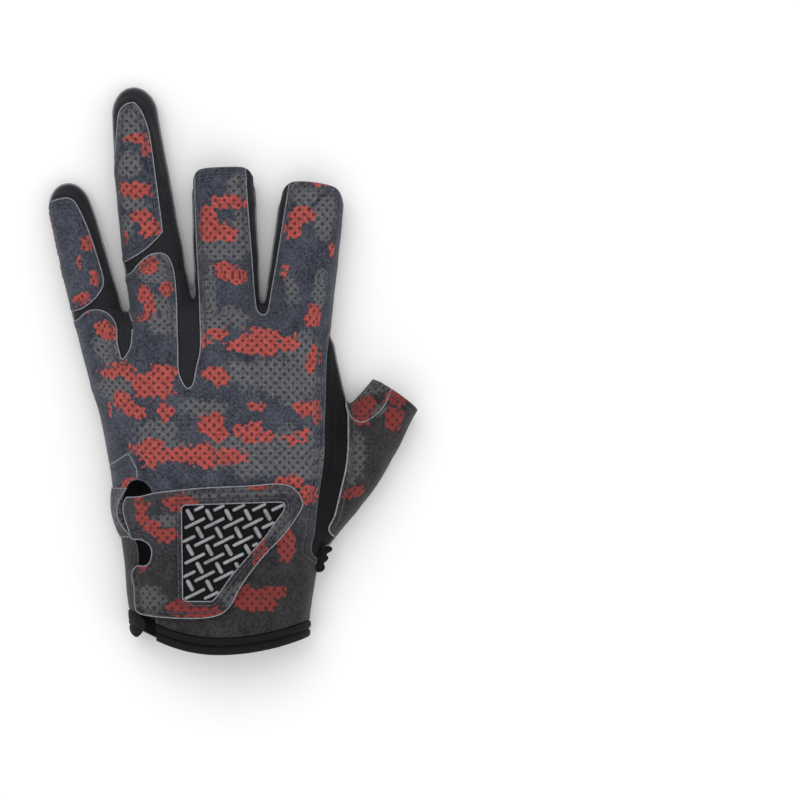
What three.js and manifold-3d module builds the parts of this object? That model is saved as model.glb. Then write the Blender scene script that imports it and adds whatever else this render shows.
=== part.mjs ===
// A fishing glove for the left hand, lying palm down with the air still in it.
// Thumb, index and middle finger are cut short, ring and little finger are whole.
// Millimetres: X runs towards the thumb, Y towards the fingertips, Z up out of the back of the hand.
import * as THREE from "three";
import { mergeVertices } from "three/addons/utils/BufferGeometryUtils.js";
import Module from "manifold-3d";

const wasm = await Module();
wasm.setup();
const { Manifold, Mesh } = wasm;

// The hand
const HAND_LENGTH = 142; // cuff edge to the webs between the fingers
const PALM_WIDTH = 101;
const WRIST_WIDTH = 68.5;
const PALM_HEIGHT = 30; // crown of the back above the table
const SEAM_HEIGHT = 6; // side seams above the table, where the glove is widest

// The fingers. Each length runs from inside the hand to the fingertip or to the cut edge.
const LITTLE_LENGTH = 72.4;
const RING_LENGTH = 105.5;
const MIDDLE_LENGTH = 73.5;
const INDEX_LENGTH = 68;
const THUMB_LENGTH = 67;
const FINGER_WIDTH = 25.5; // the middle finger at its root
const FINGER_HEIGHT = 19; // the same, above the table
const FOLD_DEPTH = 1.1;
const FOLD_WIDTH = 4.5; // from a fold's crease to the smooth cloth beside it

// The cloth
const STRETCH_WALL = 1.2; // black stretch knit
const SUEDE_PROUD = 0.6; // printed suede stands this far out past the knit
const SEAM_GAP = 0.3; // sewn pieces stay this far apart
const PALM_CUT_BACK = 3; // at a cut finger the palm side is this much shorter than the back
const TIP_ARC = 3; // the back's edge over a cut finger bows out by this much
const THUMB_SET_IN = 2; // the thumb's hollow starts this far past the hand's side wall

// The cuff
const CUFF_SAG = 11; // the cuff edge bows towards the arm by this much on the little finger's side
const CUFF_SAG_THUMB = 6.5; // and by this much on the thumb's side
const BINDING_WIDTH = 7;
const BINDING_PROUD = 1.1;
const TAIL_OVERHANG = 4.5; // loose end of the binding beside the vent

// The wrist strap and its rubber badge
const STRAP_REACH = 72; // left silhouette to the strap's nose
const STRAP_WIDTH = 53;
const STRAP_THICKNESS = 1.4;
const BADGE_BASE = 0.8;
const BADGE_RELIEF = 1;
const BADGE_LENGTH = 41.5;
const BADGE_WIDTH = 39;
const BAR_PITCH = 7.65; // weave of the badge, from bar to bar along a row
const BAR_ROW = 7.05; // from row to row
const BAR_WIDTH = 1.4;
const LONG_BAR = 9.4;
const SHORT_BAR = 5;

// The gathered elastic at the root of the thumb
const RUFFLE_DEPTH = 3;
const RUFFLE_HEIGHT = 12;
const RUFFLE_LENGTH = 11;
const RUFFLE_BASE = 0.8; // the elastic between two ruffles
const RUFFLES = 3;

// How round things are drawn
const FULLNESS = 2.3; // exponent of the sections, 2 is an ellipse
const UNDERSIDE = 1.5; // depth of the underside's curve as a share of SEAM_HEIGHT, cut flat by the table
const WEB_ROUND = 22; // length of the hand's rounded far end
const TIP_ROUND = 1.4; // length of a closed fingertip as a share of its half width
const TIP_LEANS = [30, 55, 77]; // the sections of a rounded end, in degrees
const HAND_SIDES = 26;
const FINGER_SIDES = 14;
const TALL = 2 * PALM_HEIGHT; // above everything
const MARGIN = 20; // how far a region reaches out past the cloth
const OVERLAP = 10; // how far a finger reaches back into the hand

// The hand from cuff to web, as shares: along of HAND_LENGTH, girth from wrist 0 to palm 1,
// height of PALM_HEIGHT, shift of PALM_WIDTH towards the thumb.
const HAND_ROWS = [
  { along: -0.1, girth: -0.02, height: 0.9, shift: -0.006 },
  { along: 0.1, girth: 0.07, height: 0.88, shift: -0.002 },
  { along: 0.18, girth: 0.17, height: 0.88, shift: -0.002 },
  { along: 0.265, girth: 0.26, height: 0.9, shift: 0.004 },
  { along: 0.34, girth: 0.44, height: 0.93, shift: 0.018 },
  { along: 0.435, girth: 0.67, height: 0.97, shift: 0.032 },
  { along: 0.52, girth: 0.83, height: 1, shift: 0.038 },
  { along: 0.6, girth: 0.91, height: 1, shift: 0.032 },
  { along: 0.69, girth: 0.95, height: 0.97, shift: 0.014 },
  { along: 0.77, girth: 0.98, height: 0.91, shift: -0.022 },
  { along: 0.86, girth: 1, height: 0.82, shift: -0.05 },
];

// Fingers and thumb: root as shares of the hand, tilt in degrees towards the little finger. Widths, bow
// and belly are shares of FINGER_WIDTH, heights of FINGER_HEIGHT.
const FINGER_ROWS = {
  little: {
    length: LITTLE_LENGTH,
    root: { along: 0.83, across: -0.8 },
    tilt: 14.7,
    width: { root: 0.76, tip: 0.59, belly: 0, bow: 0 },
    height: { root: 0.895, tip: 0.66 },
    closed: true,
  },
  ring: {
    length: RING_LENGTH,
    root: { along: 0.86, across: -0.305 },
    tilt: 8.2,
    width: { root: 0.957, tip: 0.608, belly: 0, bow: -0.06 },
    height: { root: 0.974, tip: 0.685 },
    closed: true,
  },
  middle: {
    length: MIDDLE_LENGTH,
    root: { along: 0.86, across: 0.163 },
    tilt: 2,
    width: { root: 1, tip: 0.94, belly: 0, bow: 0 },
    height: { root: 1, tip: 0.84 },
    closed: false,
  },
  index: {
    length: INDEX_LENGTH,
    root: { along: 0.86, across: 0.674 },
    tilt: -7.1,
    width: { root: 1.043, tip: 0.95, belly: 0, bow: 0 },
    height: { root: 1, tip: 0.84 },
    closed: false,
  },
  thumb: {
    length: THUMB_LENGTH,
    root: { along: 0.352, across: 0.745 },
    tilt: -34.5,
    width: { root: 0.94, tip: 0.8, belly: 0.18, bow: 0 },
    height: { root: 1.1, tip: 0.87 },
    closed: false,
  },
};

// Creases across the cloth where the glove has bent, depth as a share of FOLD_DEPTH.
const FOLD_ROWS = [
  { limb: "hand", along: 0.53, depth: 1 },
  { limb: "little", along: 0.29, depth: 0.8 },
  { limb: "ring", along: 0.31, depth: 0.9 },
  { limb: "middle", along: 0.42, depth: 0.7 },
  { limb: "index", along: 0.45, depth: 0.8 },
  { limb: "thumb", along: 0.35, depth: 0.8 },
  { limb: "thumb", along: 0.62, depth: 0.65 },
];

const mix = THREE.MathUtils.lerp;

// A column of a table, read between its rows.
function columnAt(rows, column, along) {
  let above = 1;
  while (above < rows.length - 1 && rows[above].along < along) above += 1;
  const [low, high] = [rows[above - 1], rows[above]];
  const share = (along - low.along) / (high.along - low.along);
  return mix(low[column], high[column], THREE.MathUtils.clamp(share, 0, 1));
}

// A limb is a tube along a line on the table: the hand, a finger or the thumb. halfWidth, height and
// shift are functions of the share along it, and across runs from -1 to 1 over its width.
class Limb {
  constructor({ name, root, length, tilt, halfWidth, height, shift, cap, steps, sides }) {
    Object.assign(this, { name, root, length, halfWidth, height, shift, cap, steps, sides });
    const turn = THREE.MathUtils.degToRad(tilt);
    this.ahead = new THREE.Vector2(-Math.sin(turn), Math.cos(turn));
    this.aside = new THREE.Vector2(Math.cos(turn), Math.sin(turn));
    this.folds = FOLD_ROWS.filter((row) => row.limb === name);
  }

  offset(forward, sideways) {
    return this.root.clone().addScaledVector(this.ahead, forward).addScaledVector(this.aside, sideways);
  }

  place(along, across, past = 0) {
    const sideways = this.shift(along) + across * this.halfWidth(along);
    return this.offset(along * this.length + past, sideways);
  }

  foldDepth(along) {
    const depths = this.folds.map((fold) => {
      const away = Math.abs(along - fold.along) * this.length;
      return FOLD_DEPTH * fold.depth * Math.max(0, 1 - away / FOLD_WIDTH);
    });
    return Math.max(0, ...depths);
  }

  // One section, grown by outset all round. lean turns from 0 at the full section to 90 degrees at the
  // very end of a rounded tip.
  section(along, lean, outset, floor) {
    const shrink = Math.cos(lean);
    const forward = along * this.length + (this.cap + outset) * Math.sin(lean);
    const half = (this.halfWidth(along) + outset) * shrink;
    const rise = (this.height(along) - SEAM_HEIGHT - this.foldDepth(along) + outset) * shrink;
    const drop = (SEAM_HEIGHT * UNDERSIDE + outset) * shrink;
    const ring = [];
    for (let i = 0; i < this.sides; i += 1) {
      const angle = (2 * Math.PI * i) / this.sides;
      const [c, s] = [Math.cos(angle), Math.sin(angle)];
      const sideways = this.shift(along) + half * Math.sign(c) * Math.abs(c) ** (2 / FULLNESS);
      const up = (s > 0 ? rise : drop) * Math.sign(s) * Math.abs(s) ** (2 / FULLNESS);
      const point = this.offset(forward, sideways);
      ring.push(new THREE.Vector3(point.x, point.y, Math.max(floor, SEAM_HEIGHT + up)));
    }
    return ring;
  }

  // Where the sections stand: evenly, and closer at each fold.
  stations(first, last) {
    const fold = FOLD_WIDTH / this.length;
    const creases = this.folds.flatMap(({ along }) => [along - fold, along, along + fold]);
    const clear = (along) => creases.every((crease) => Math.abs(crease - along) > fold * 0.7);
    const even = [];
    for (let i = 0; i <= this.steps; i += 1) even.push(mix(first, last, i / this.steps));
    return [...even.filter(clear), ...creases].sort((a, b) => a - b);
  }

  // The whole tube as a solid, grown by outset and cut flat at floor. It reaches behind the root, and an
  // open end runs on past the tip.
  tube(outset, floor, behindRoot) {
    const first = -behindRoot / this.length;
    const last = this.cap ? 1 - this.cap / this.length : 1 + OVERLAP / this.length;
    const rings = this.stations(first, last).map((along) => this.section(along, 0, outset, floor));
    const leans = this.cap ? TIP_LEANS : [];
    for (const lean of leans) {
      rings.push(this.section(last, THREE.MathUtils.degToRad(lean), outset, floor));
    }
    return solidThrough(rings);
  }
}

// Closes a row of rings of equal count into a solid.
function solidThrough(rings) {
  const sides = rings[0].length;
  const points = rings.flat();
  const faces = [];
  for (let r = 0; r + 1 < rings.length; r += 1) {
    for (let i = 0; i < sides; i += 1) {
      const [a, b] = [r * sides + i, r * sides + ((i + 1) % sides)];
      faces.push([b, a, a + sides], [b, a + sides, b + sides]);
    }
  }
  for (const [start, facing] of [[0, 1], [(rings.length - 1) * sides, -1]]) {
    const middle = new THREE.Vector3();
    for (let i = 0; i < sides; i += 1) middle.addScaledVector(points[start + i], 1 / sides);
    points.push(middle);
    for (let i = 0; i < sides; i += 1) {
      const [a, b] = [start + i, start + ((i + 1) % sides)];
      faces.push(facing > 0 ? [points.length - 1, a, b] : [points.length - 1, b, a]);
    }
  }
  const geometry = new THREE.BufferGeometry().setFromPoints(points);
  geometry.setIndex(faces.flat());
  return solidOf(geometry);
}

// A closed three.js geometry as a manifold-3d solid.
function solidOf(geometry) {
  const bare = new THREE.BufferGeometry();
  bare.setAttribute("position", geometry.getAttribute("position"));
  if (geometry.index) bare.setIndex(geometry.index);
  const merged = mergeVertices(bare, 1e-4);
  return new Manifold(
    new Mesh({
      numProp: 3,
      vertProperties: merged.getAttribute("position").array,
      triVerts: new Uint32Array(merged.index.array),
    }),
  );
}

function unionOf(solids) {
  return solids.reduce((sum, solid) => sum.add(solid));
}

function meshOf(name, solid, material) {
  const { vertProperties, triVerts } = solid.getMesh();
  const geometry = new THREE.BufferGeometry();
  geometry.setAttribute("position", new THREE.BufferAttribute(vertProperties, 3));
  geometry.setIndex(new THREE.BufferAttribute(triVerts, 1));
  const mesh = new THREE.Mesh(geometry, material);
  mesh.name = name;
  return mesh;
}

// The limbs
const hand = new Limb({
  name: "hand",
  root: new THREE.Vector2(0, 0),
  length: HAND_LENGTH,
  tilt: 0,
  halfWidth: (along) => mix(WRIST_WIDTH, PALM_WIDTH, columnAt(HAND_ROWS, "girth", along)) / 2,
  height: (along) => PALM_HEIGHT * columnAt(HAND_ROWS, "height", along),
  shift: (along) => PALM_WIDTH * columnAt(HAND_ROWS, "shift", along),
  cap: WEB_ROUND,
  steps: 9,
  sides: HAND_SIDES,
});

function fingerFrom(name, { length, root, tilt, width, height, closed }) {
  const taper = (along) => Math.max(0, along) ** 2;
  const bulge = (along) => 4 * along * (1 - along);
  const widthAt = (along) => mix(width.root, width.tip, taper(along)) + width.belly * bulge(along) ** 2;
  return new Limb({
    name,
    root: hand.place(root.along, root.across),
    length,
    tilt,
    halfWidth: (along) => (FINGER_WIDTH * widthAt(along)) / 2,
    height: (along) => FINGER_HEIGHT * mix(height.root, height.tip, taper(along)),
    shift: (along) => FINGER_WIDTH * width.bow * bulge(along),
    cap: closed ? (TIP_ROUND * FINGER_WIDTH * width.tip) / 2 : 0,
    steps: 4,
    sides: FINGER_SIDES,
  });
}
const fingers = Object.fromEntries(
  Object.entries(FINGER_ROWS).map(([name, row]) => [name, fingerFrom(name, row)]),
);
const { little, ring, middle, index, thumb } = fingers;
const cutFingers = [middle, index, thumb];

// Points of an outline, from rows of along and across on one limb.
function on(limb, rows) {
  return rows.map(({ along, across }) => limb.place(along, across));
}

// A smooth line through points.
function smooth(points, perSpan = 2) {
  return new THREE.SplineCurve(points).getPoints(perSpan * (points.length - 1));
}

// An outline moved outwards by a distance, or inwards where that is negative.
function grown(outline, by) {
  const outward = THREE.ShapeUtils.isClockWise(outline) ? -1 : 1;
  return outline.map((point, i) => {
    const before = outline[(i + outline.length - 1) % outline.length];
    const after = outline[(i + 1) % outline.length];
    const into = point.clone().sub(before).normalize();
    const out = after.clone().sub(point).normalize();
    const normal = new THREE.Vector2(into.y + out.y, -into.x - out.x).normalize();
    const spread = Math.max(0.35, normal.x * into.y - normal.y * into.x);
    return point.clone().addScaledVector(normal, (outward * by) / spread);
  });
}

// The solid over an outline, from one height to another.
function prism(outline, low, high) {
  const geometry = new THREE.ExtrudeGeometry(new THREE.Shape(outline), {
    depth: high - low,
    bevelEnabled: false,
  });
  return solidOf(geometry.translate(0, 0, low));
}
const BACK_HALF = [SEAM_HEIGHT + SEAM_GAP / 2, TALL];
const PALM_HALF = [-MARGIN, SEAM_HEIGHT - SEAM_GAP / 2];

// Everything past the cut end of a finger. arc bows the edge outwards and back sets it towards the hand.
function pastTip(limb, arc, back, [low, high]) {
  const edge = [];
  for (let across = -1.5; across <= 1.5; across += 0.375) {
    edge.push(limb.place(1, across, arc * (1 - across ** 2) - arc - back));
  }
  const far = [limb.place(1, 1.5, MARGIN), limb.place(1, -1.5, MARGIN)];
  return prism([...edge, ...far], low, high);
}
const pastTips = cutFingers.flatMap((limb) => [
  pastTip(limb, TIP_ARC, 0, [SEAM_HEIGHT, TALL]),
  pastTip(limb, 0, PALM_CUT_BACK, [-MARGIN, SEAM_HEIGHT]),
]);

// The outer surface of the glove moved out by outset, and the hollow inside it, both as solids. The
// thumb stands on the hand's side wall, so its tube starts at its root and its hollow past that.
function bodyAt(outset, limbs) {
  return unionOf(limbs.map((limb) => limb.tube(outset, 0, limb === thumb ? 0 : OVERLAP)));
}
function hollowAt(wall, limbs) {
  const floor = wall + SUEDE_PROUD;
  return unionOf(limbs.map((limb) => limb.tube(-wall, floor, limb === thumb ? -THUMB_SET_IN : OVERLAP)));
}
const allLimbs = [hand, little, ring, middle, index, thumb];
const hollow = hollowAt(STRETCH_WALL, allLimbs).add(unionOf(pastTips));
const stretchSkin = bodyAt(0, allLimbs).subtract(hollow);
const suedeSkin = bodyAt(SUEDE_PROUD, allLimbs).subtract(hollow);

// A line across the cuff, lifted above its edge.
function cuffLine(lift, from = -1.6, to = 1.6) {
  const points = [];
  const steps = Math.round((to - from) / 0.2);
  for (let i = 0; i <= steps; i += 1) {
    const across = mix(from, to, i / steps);
    const sag = across < 0 ? CUFF_SAG : CUFF_SAG_THUMB;
    points.push(hand.place((sag * across ** 2 + lift) / HAND_LENGTH, across));
  }
  return points;
}
const wide = PALM_WIDTH * 1.3;
const tall = HAND_LENGTH + ring.length;
const beside = HAND_LENGTH * 0.22;
const aboveCuff = [
  new THREE.Vector2(wide, beside),
  new THREE.Vector2(wide, tall),
  new THREE.Vector2(-wide, tall),
  new THREE.Vector2(-wide, beside),
];
const bodyZone = [...cuffLine(BINDING_WIDTH + SEAM_GAP / 2), ...aboveCuff];
const bindingZone = [...cuffLine(0), ...cuffLine(BINDING_WIDTH - SEAM_GAP / 2).reverse()];
const bodyPrism = prism(bodyZone, -MARGIN, TALL);
const tailZone = (low, high) => [...cuffLine(low, -1.6, -0.77), ...cuffLine(high, -1.6, -0.77).reverse()];

// The vent in the back, open at the cuff: the strap comes out of it and covers most of it.
const vent = smooth(
  on(hand, [
    { along: -0.1, across: -0.71 },
    { along: 0.04, across: -0.71 },
    { along: 0.15, across: -0.7 },
    { along: 0.29, across: -0.7 },
    { along: 0.434, across: -0.66 },
    { along: 0.473, across: -0.68 },
    { along: 0.49, across: -0.75 },
    { along: 0.487, across: -0.83 },
    { along: 0.465, across: -0.89 },
    { along: 0.434, across: -0.93 },
    { along: 0.4, across: -0.945 },
    { along: 0.36, across: -0.925 },
    { along: 0.33, across: -0.88 },
    { along: 0.3, across: -0.85 },
    { along: 0.255, across: -0.86 },
    { along: 0.226, across: -0.93 },
    { along: 0.18, across: -0.945 },
    { along: 0.135, across: -0.93 },
    { along: 0.09, across: -0.84 },
    { along: 0.04, across: -0.82 },
    { along: -0.1, across: -0.82 },
  ]),
);
const ventPrism = prism(vent, ...BACK_HALF);

// Seams on the back of the hand, each drawn once and shared by the pieces on both sides of it.
const wrapSeam = on(hand, [
  { along: -0.1, across: -0.765 },
  { along: 0.29, across: -0.775 },
  { along: 0.47, across: -0.78 },
  { along: 0.524, across: -0.77 },
  { along: 0.566, across: -0.82 },
  { along: 0.535, across: -0.98 },
  { along: 0.52, across: -1.3 },
]);
const littleTongue = smooth([
  ...on(little, [
    { along: 0.24, across: -1.35 },
    { along: 0.257, across: -0.83 },
    { along: 0.285, across: -0.39 },
    { along: 0.28, across: 0.08 },
    { along: 0.24, across: 0.48 },
  ]),
  ...on(hand, [
    { along: 0.924, across: -0.72 },
    { along: 0.879, across: -0.71 },
    { along: 0.85, across: -0.7 },
    { along: 0.83, across: -0.69 },
    { along: 0.845, across: -0.64 },
    { along: 0.87, across: -0.6 },
    { along: 0.913, across: -0.59 },
  ]),
]);
const littleWeb = [
  ...on(hand, [{ along: 0.938, across: -0.595 }]),
  ...on(ring, [
    { along: 0.19, across: -1.14 },
    { along: 0.27, across: -1.32 },
  ]),
];
const ringTongue = smooth([
  ...on(ring, [
    { along: 0.285, across: -1.3 },
    { along: 0.306, across: -0.81 },
    { along: 0.334, across: -0.51 },
    { along: 0.361, across: -0.1 },
    { along: 0.363, across: 0.3 },
    { along: 0.342, across: 0.54 },
    { along: 0.29, across: 0.62 },
    { along: 0.207, across: 0.57 },
  ]),
  ...on(hand, [
    { along: 0.87, across: -0.23 },
    { along: 0.8, across: -0.26 },
    { along: 0.761, across: -0.25 },
    { along: 0.748, across: -0.22 },
    { along: 0.761, across: -0.17 },
    { along: 0.8, across: -0.12 },
    { along: 0.87, across: -0.05 },
  ]),
  ...on(middle, [
    { along: 0.27, across: -0.8 },
    { along: 0.54, across: -0.84 },
    { along: 0.82, across: -0.88 },
    { along: 1.2, across: -0.9 },
  ]),
]);
const indexGap = smooth([
  ...on(middle, [
    { along: 1.2, across: 0.79 },
    { along: 0.8, across: 0.8 },
    { along: 0.48, across: 0.83 },
    { along: 0.32, across: 0.85 },
  ]),
  ...on(hand, [
    { along: 0.972, across: 0.39 },
    { along: 0.955, across: 0.44 },
    { along: 0.968, across: 0.48 },
  ]),
  ...on(index, [
    { along: 0.35, across: -0.79 },
    { along: 0.5, across: -0.74 },
    { along: 0.8, across: -0.71 },
    { along: 1.2, across: -0.72 },
  ]),
]);
const thumbSideSeam = smooth(
  on(hand, [
    { along: 0.97, across: 1.3 },
    { along: 0.915, across: 1 },
    { along: 0.87, across: 0.955 },
    { along: 0.8, across: 0.91 },
    { along: 0.744, across: 0.87 },
    { along: 0.631, across: 0.8 },
    { along: 0.546, across: 0.79 },
    { along: 0.425, across: 0.81 },
    { along: 0.349, across: 0.87 },
    { along: 0.279, across: 0.94 },
    { along: 0.235, across: 1.3 },
  ]),
);
const backOutline = [
  ...wrapSeam,
  ...on(hand, [{ along: 0.75, across: -1.4 }]),
  ...littleTongue,
  ...littleWeb,
  ...ringTongue,
  ...indexGap,
  ...on(index, [{ along: 1.2, across: 2.4 }]),
  ...thumbSideSeam,
  ...on(hand, [{ along: -0.1, across: 1.4 }]),
];

// The printed patches on the whole fingers
const littlePatch = smooth(
  on(little, [
    { along: 0.92, across: -1.3 },
    { along: 0.928, across: -0.5 },
    { along: 0.915, across: 0.15 },
    { along: 0.856, across: 0.42 },
    { along: 0.712, across: 0.6 },
    { along: 0.537, across: 0.65 },
    { along: 0.437, across: 0.64 },
    { along: 0.387, across: 0.47 },
    { along: 0.339, across: 0.02 },
    { along: 0.308, across: -0.66 },
    { along: 0.32, across: -1.3 },
  ]),
);
const ringPatch = smooth(
  on(ring, [
    { along: 0.66, across: -1.35 },
    { along: 0.74, across: -1.06 },
    { along: 0.83, across: -0.88 },
    { along: 0.905, across: -0.76 },
    { along: 0.936, across: -0.5 },
    { along: 0.945, across: -0.12 },
    { along: 0.937, across: 0.11 },
    { along: 0.901, across: 0.36 },
    { along: 0.831, across: 0.54 },
    { along: 0.721, across: 0.56 },
    { along: 0.586, across: 0.53 },
    { along: 0.465, across: 0.49 },
    { along: 0.435, across: 0.41 },
    { along: 0.384, across: -0.22 },
    { along: 0.353, across: -0.9 },
    { along: 0.343, across: -1.35 },
  ]),
);

// The thumb's seams: on the back beside the black gore, on the palm an arc and a keyhole
const thumbSeam = smooth(
  on(hand, [
    { along: 0.81, across: 1.18 },
    { along: 0.715, across: 1.01 },
    { along: 0.67, across: 1 },
    { along: 0.589, across: 0.985 },
    { along: 0.524, across: 0.98 },
    { along: 0.459, across: 0.98 },
    { along: 0.392, across: 1 },
    { along: 0.344, across: 1.01 },
    { along: 0.3, across: 1.3 },
  ]),
);
const roundThumb = [
  ...on(thumb, [
    { along: 0.05, across: 2.2 },
    { along: 0.5, across: 1.8 },
    { along: 1.2, across: 1.8 },
    { along: 1.2, across: -1.6 },
  ]),
];
const thumbBackOutline = [...thumbSeam, ...roundThumb];
const thumbWebOutline = smooth(
  on(thumb, [
    { along: 1.2, across: -0.3 },
    { along: 0.988, across: -0.25 },
    { along: 0.902, across: -0.12 },
    { along: 0.826, across: -0.14 },
    { along: 0.75, across: -0.28 },
    { along: 0.715, across: -0.5 },
    { along: 0.72, across: -0.8 },
    { along: 0.778, across: -1.26 },
    { along: 0.85, across: -1.5 },
    { along: 1.2, across: -1.6 },
  ]),
);
const palmArc = smooth(
  on(hand, [
    { along: 0.235, across: 1.4 },
    { along: 0.25, across: 1 },
    { along: 0.265, across: 0.77 },
    { along: 0.3, across: 0.5 },
    { along: 0.345, across: 0.32 },
    { along: 0.42, across: 0.22 },
    { along: 0.5, across: 0.24 },
    { along: 0.585, across: 0.36 },
    { along: 0.64, across: 0.48 },
    { along: 0.668, across: 0.6 },
  ]),
);
const palmKeyhole = smooth(
  on(hand, [
    { along: 0.66, across: 0.64 },
    { along: 0.61, across: 0.68 },
    { along: 0.575, across: 0.75 },
    { along: 0.56, across: 0.84 },
    { along: 0.585, across: 0.92 },
    { along: 0.64, across: 0.97 },
    { along: 0.715, across: 0.99 },
    { along: 0.81, across: 1.14 },
  ]),
);
const thumbPalmOutline = [...palmArc, ...palmKeyhole, ...[...roundThumb].reverse()];
const palmOutline = [
  ...palmArc,
  ...palmKeyhole,
  ...on(hand, [{ along: 0.95, across: 1.5 }]),
  ...on(index, [{ along: 1.3, across: 2 }]),
  ...on(ring, [
    { along: 1.2, across: 2 },
    { along: 1.2, across: -3 },
  ]),
  ...on(little, [{ along: 1.2, across: -3 }]),
  ...on(hand, [
    { along: -0.1, across: -1.6 },
    { along: -0.1, across: 1.6 },
  ]),
];

// A sewn piece: what an outline takes out of a skin, half a seam gap inside its edge.
function sewn(skin, outline, [low, high]) {
  return skin.intersect(prism(grown(outline, -SEAM_GAP / 2), low, high)).intersect(bodyPrism);
}
function without(solid, ...outlines) {
  const cutters = outlines.map((outline) => prism(grown(outline, SEAM_GAP / 2), -MARGIN, TALL));
  return solid.subtract(unionOf(cutters));
}

// The black knit shows where no printed piece covers it. Each zone is a loose loop round one such place.
const littleZone = [
  ...on(little, [
    { along: 1.2, across: -3 },
    { along: 0.22, across: -1.6 },
  ]),
  ...on(hand, [
    { along: 0.86, across: -0.85 },
    { along: 0.78, across: -0.75 },
    { along: 0.78, across: -0.6 },
    { along: 0.92, across: -0.54 },
  ]),
  ...on(little, [
    { along: 0.43, across: 1.3 },
    { along: 0.7, across: 1.5 },
    { along: 1.2, across: 2 },
  ]),
];
const ringZone = [
  ...on(ring, [
    { along: 1.2, across: -2 },
    { along: 0.37, across: -1.5 },
    { along: 0.27, across: -1.25 },
    { along: 0.15, across: 0 },
  ]),
  ...on(hand, [
    { along: 0.7, across: -0.3 },
    { along: 0.7, across: -0.1 },
  ]),
  ...on(middle, [
    { along: 0.2, across: -0.2 },
    { along: 1.2, across: -0.2 },
    { along: 1.2, across: -1.4 },
  ]),
  ...on(ring, [{ along: 1.2, across: 2 }]),
];
const indexZone = [
  ...on(middle, [
    { along: 1.2, across: 0.3 },
    { along: 0.3, across: 0.3 },
  ]),
  ...on(hand, [{ along: 0.9, across: 0.44 }]),
  ...on(index, [
    { along: 0.3, across: -0.3 },
    { along: 1.2, across: -0.3 },
  ]),
];
const goreZone = on(hand, [
  { along: 0.97, across: 0.9 },
  { along: 0.5, across: 0.7 },
  { along: 0.2, across: 0.8 },
  { along: 0.2, across: 1.4 },
  { along: 0.5, across: 1.25 },
  { along: 0.97, across: 1.35 },
]);

// The strap lies on the back in its own frame: reach 0 at the left silhouette to 1 at the nose, rise from
// -1 at its lower edge to 1 at its upper edge.
const strapRoot = hand.place(0.29, -1);
const strapAt = ({ reach, rise }) =>
  new THREE.Vector2(strapRoot.x + reach * STRAP_REACH, strapRoot.y + (rise * STRAP_WIDTH) / 2);
const strapOutline = smooth(
  [
    { reach: 0.02, rise: 0.815 },
    { reach: 0.1, rise: 0.83 },
    { reach: 0.2, rise: 0.89 },
    { reach: 0.45, rise: 0.96 },
    { reach: 0.7, rise: 0.99 },
    { reach: 0.85, rise: 1.02 },
    { reach: 0.94, rise: 0.97 },
    { reach: 0.99, rise: 0.8 },
    { reach: 0.99, rise: 0.64 },
    { reach: 0.9, rise: 0.28 },
    { reach: 0.77, rise: -0.1 },
    { reach: 0.66, rise: -0.5 },
    { reach: 0.6, rise: -0.8 },
    { reach: 0.53, rise: -0.95 },
    { reach: 0.4, rise: -1 },
    { reach: 0.2, rise: -0.98 },
    { reach: 0.09, rise: -0.93 },
    { reach: 0.066, rise: -0.82 },
    { reach: 0.06, rise: -0.55 },
    { reach: 0.047, rise: -0.33 },
    { reach: 0.08, rise: -0.22 },
    { reach: 0.12, rise: -0.22 },
    { reach: 0.15, rise: -0.16 },
    { reach: 0.163, rise: 0 },
    { reach: 0.145, rise: 0.11 },
    { reach: 0.1, rise: 0.18 },
    { reach: 0.05, rise: 0.19 },
    { reach: 0.03, rise: 0.33 },
    { reach: 0.012, rise: 0.47 },
    { reach: 0, rise: 0.62 },
    { reach: 0.004, rise: 0.74 },
  ].map(strapAt),
);
const strapInset = STRAP_REACH * 0.328; // from the left silhouette to the badge
const badgeAt = ({ reach, rise }) =>
  new THREE.Vector2(
    strapRoot.x + strapInset + reach * BADGE_LENGTH,
    strapRoot.y + STRAP_WIDTH * 0.358 + (rise - 1) * BADGE_WIDTH,
  );
const badgeOutline = [
  { reach: 0.034, rise: 0.992 },
  { reach: 0.9, rise: 1.023 },
  { reach: 0.978, rise: 1.018 },
  { reach: 0.993, rise: 0.985 },
  { reach: 0.978, rise: 0.93 },
  { reach: 0.805, rise: 0.669 },
  { reach: 0.492, rise: 0.285 },
  { reach: 0.33, rise: 0.044 },
  { reach: 0.294, rise: 0.008 },
  { reach: 0.043, rise: 0.008 },
  { reach: 0.012, rise: 0.036 },
  { reach: 0.002, rise: 0.965 },
].map(badgeAt);

const strapLow = SUEDE_PROUD + SEAM_GAP;
const underStrap = bodyAt(strapLow, [hand, thumb]);
const strapSlab = bodyAt(strapLow + STRAP_THICKNESS, [hand, thumb]).subtract(underStrap);
const badgeSlab = bodyAt(strapLow + BADGE_BASE, [hand, thumb]).subtract(underStrap);
const reliefSlab = bodyAt(strapLow + BADGE_BASE + BADGE_RELIEF, [hand, thumb]).subtract(underStrap);

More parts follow.
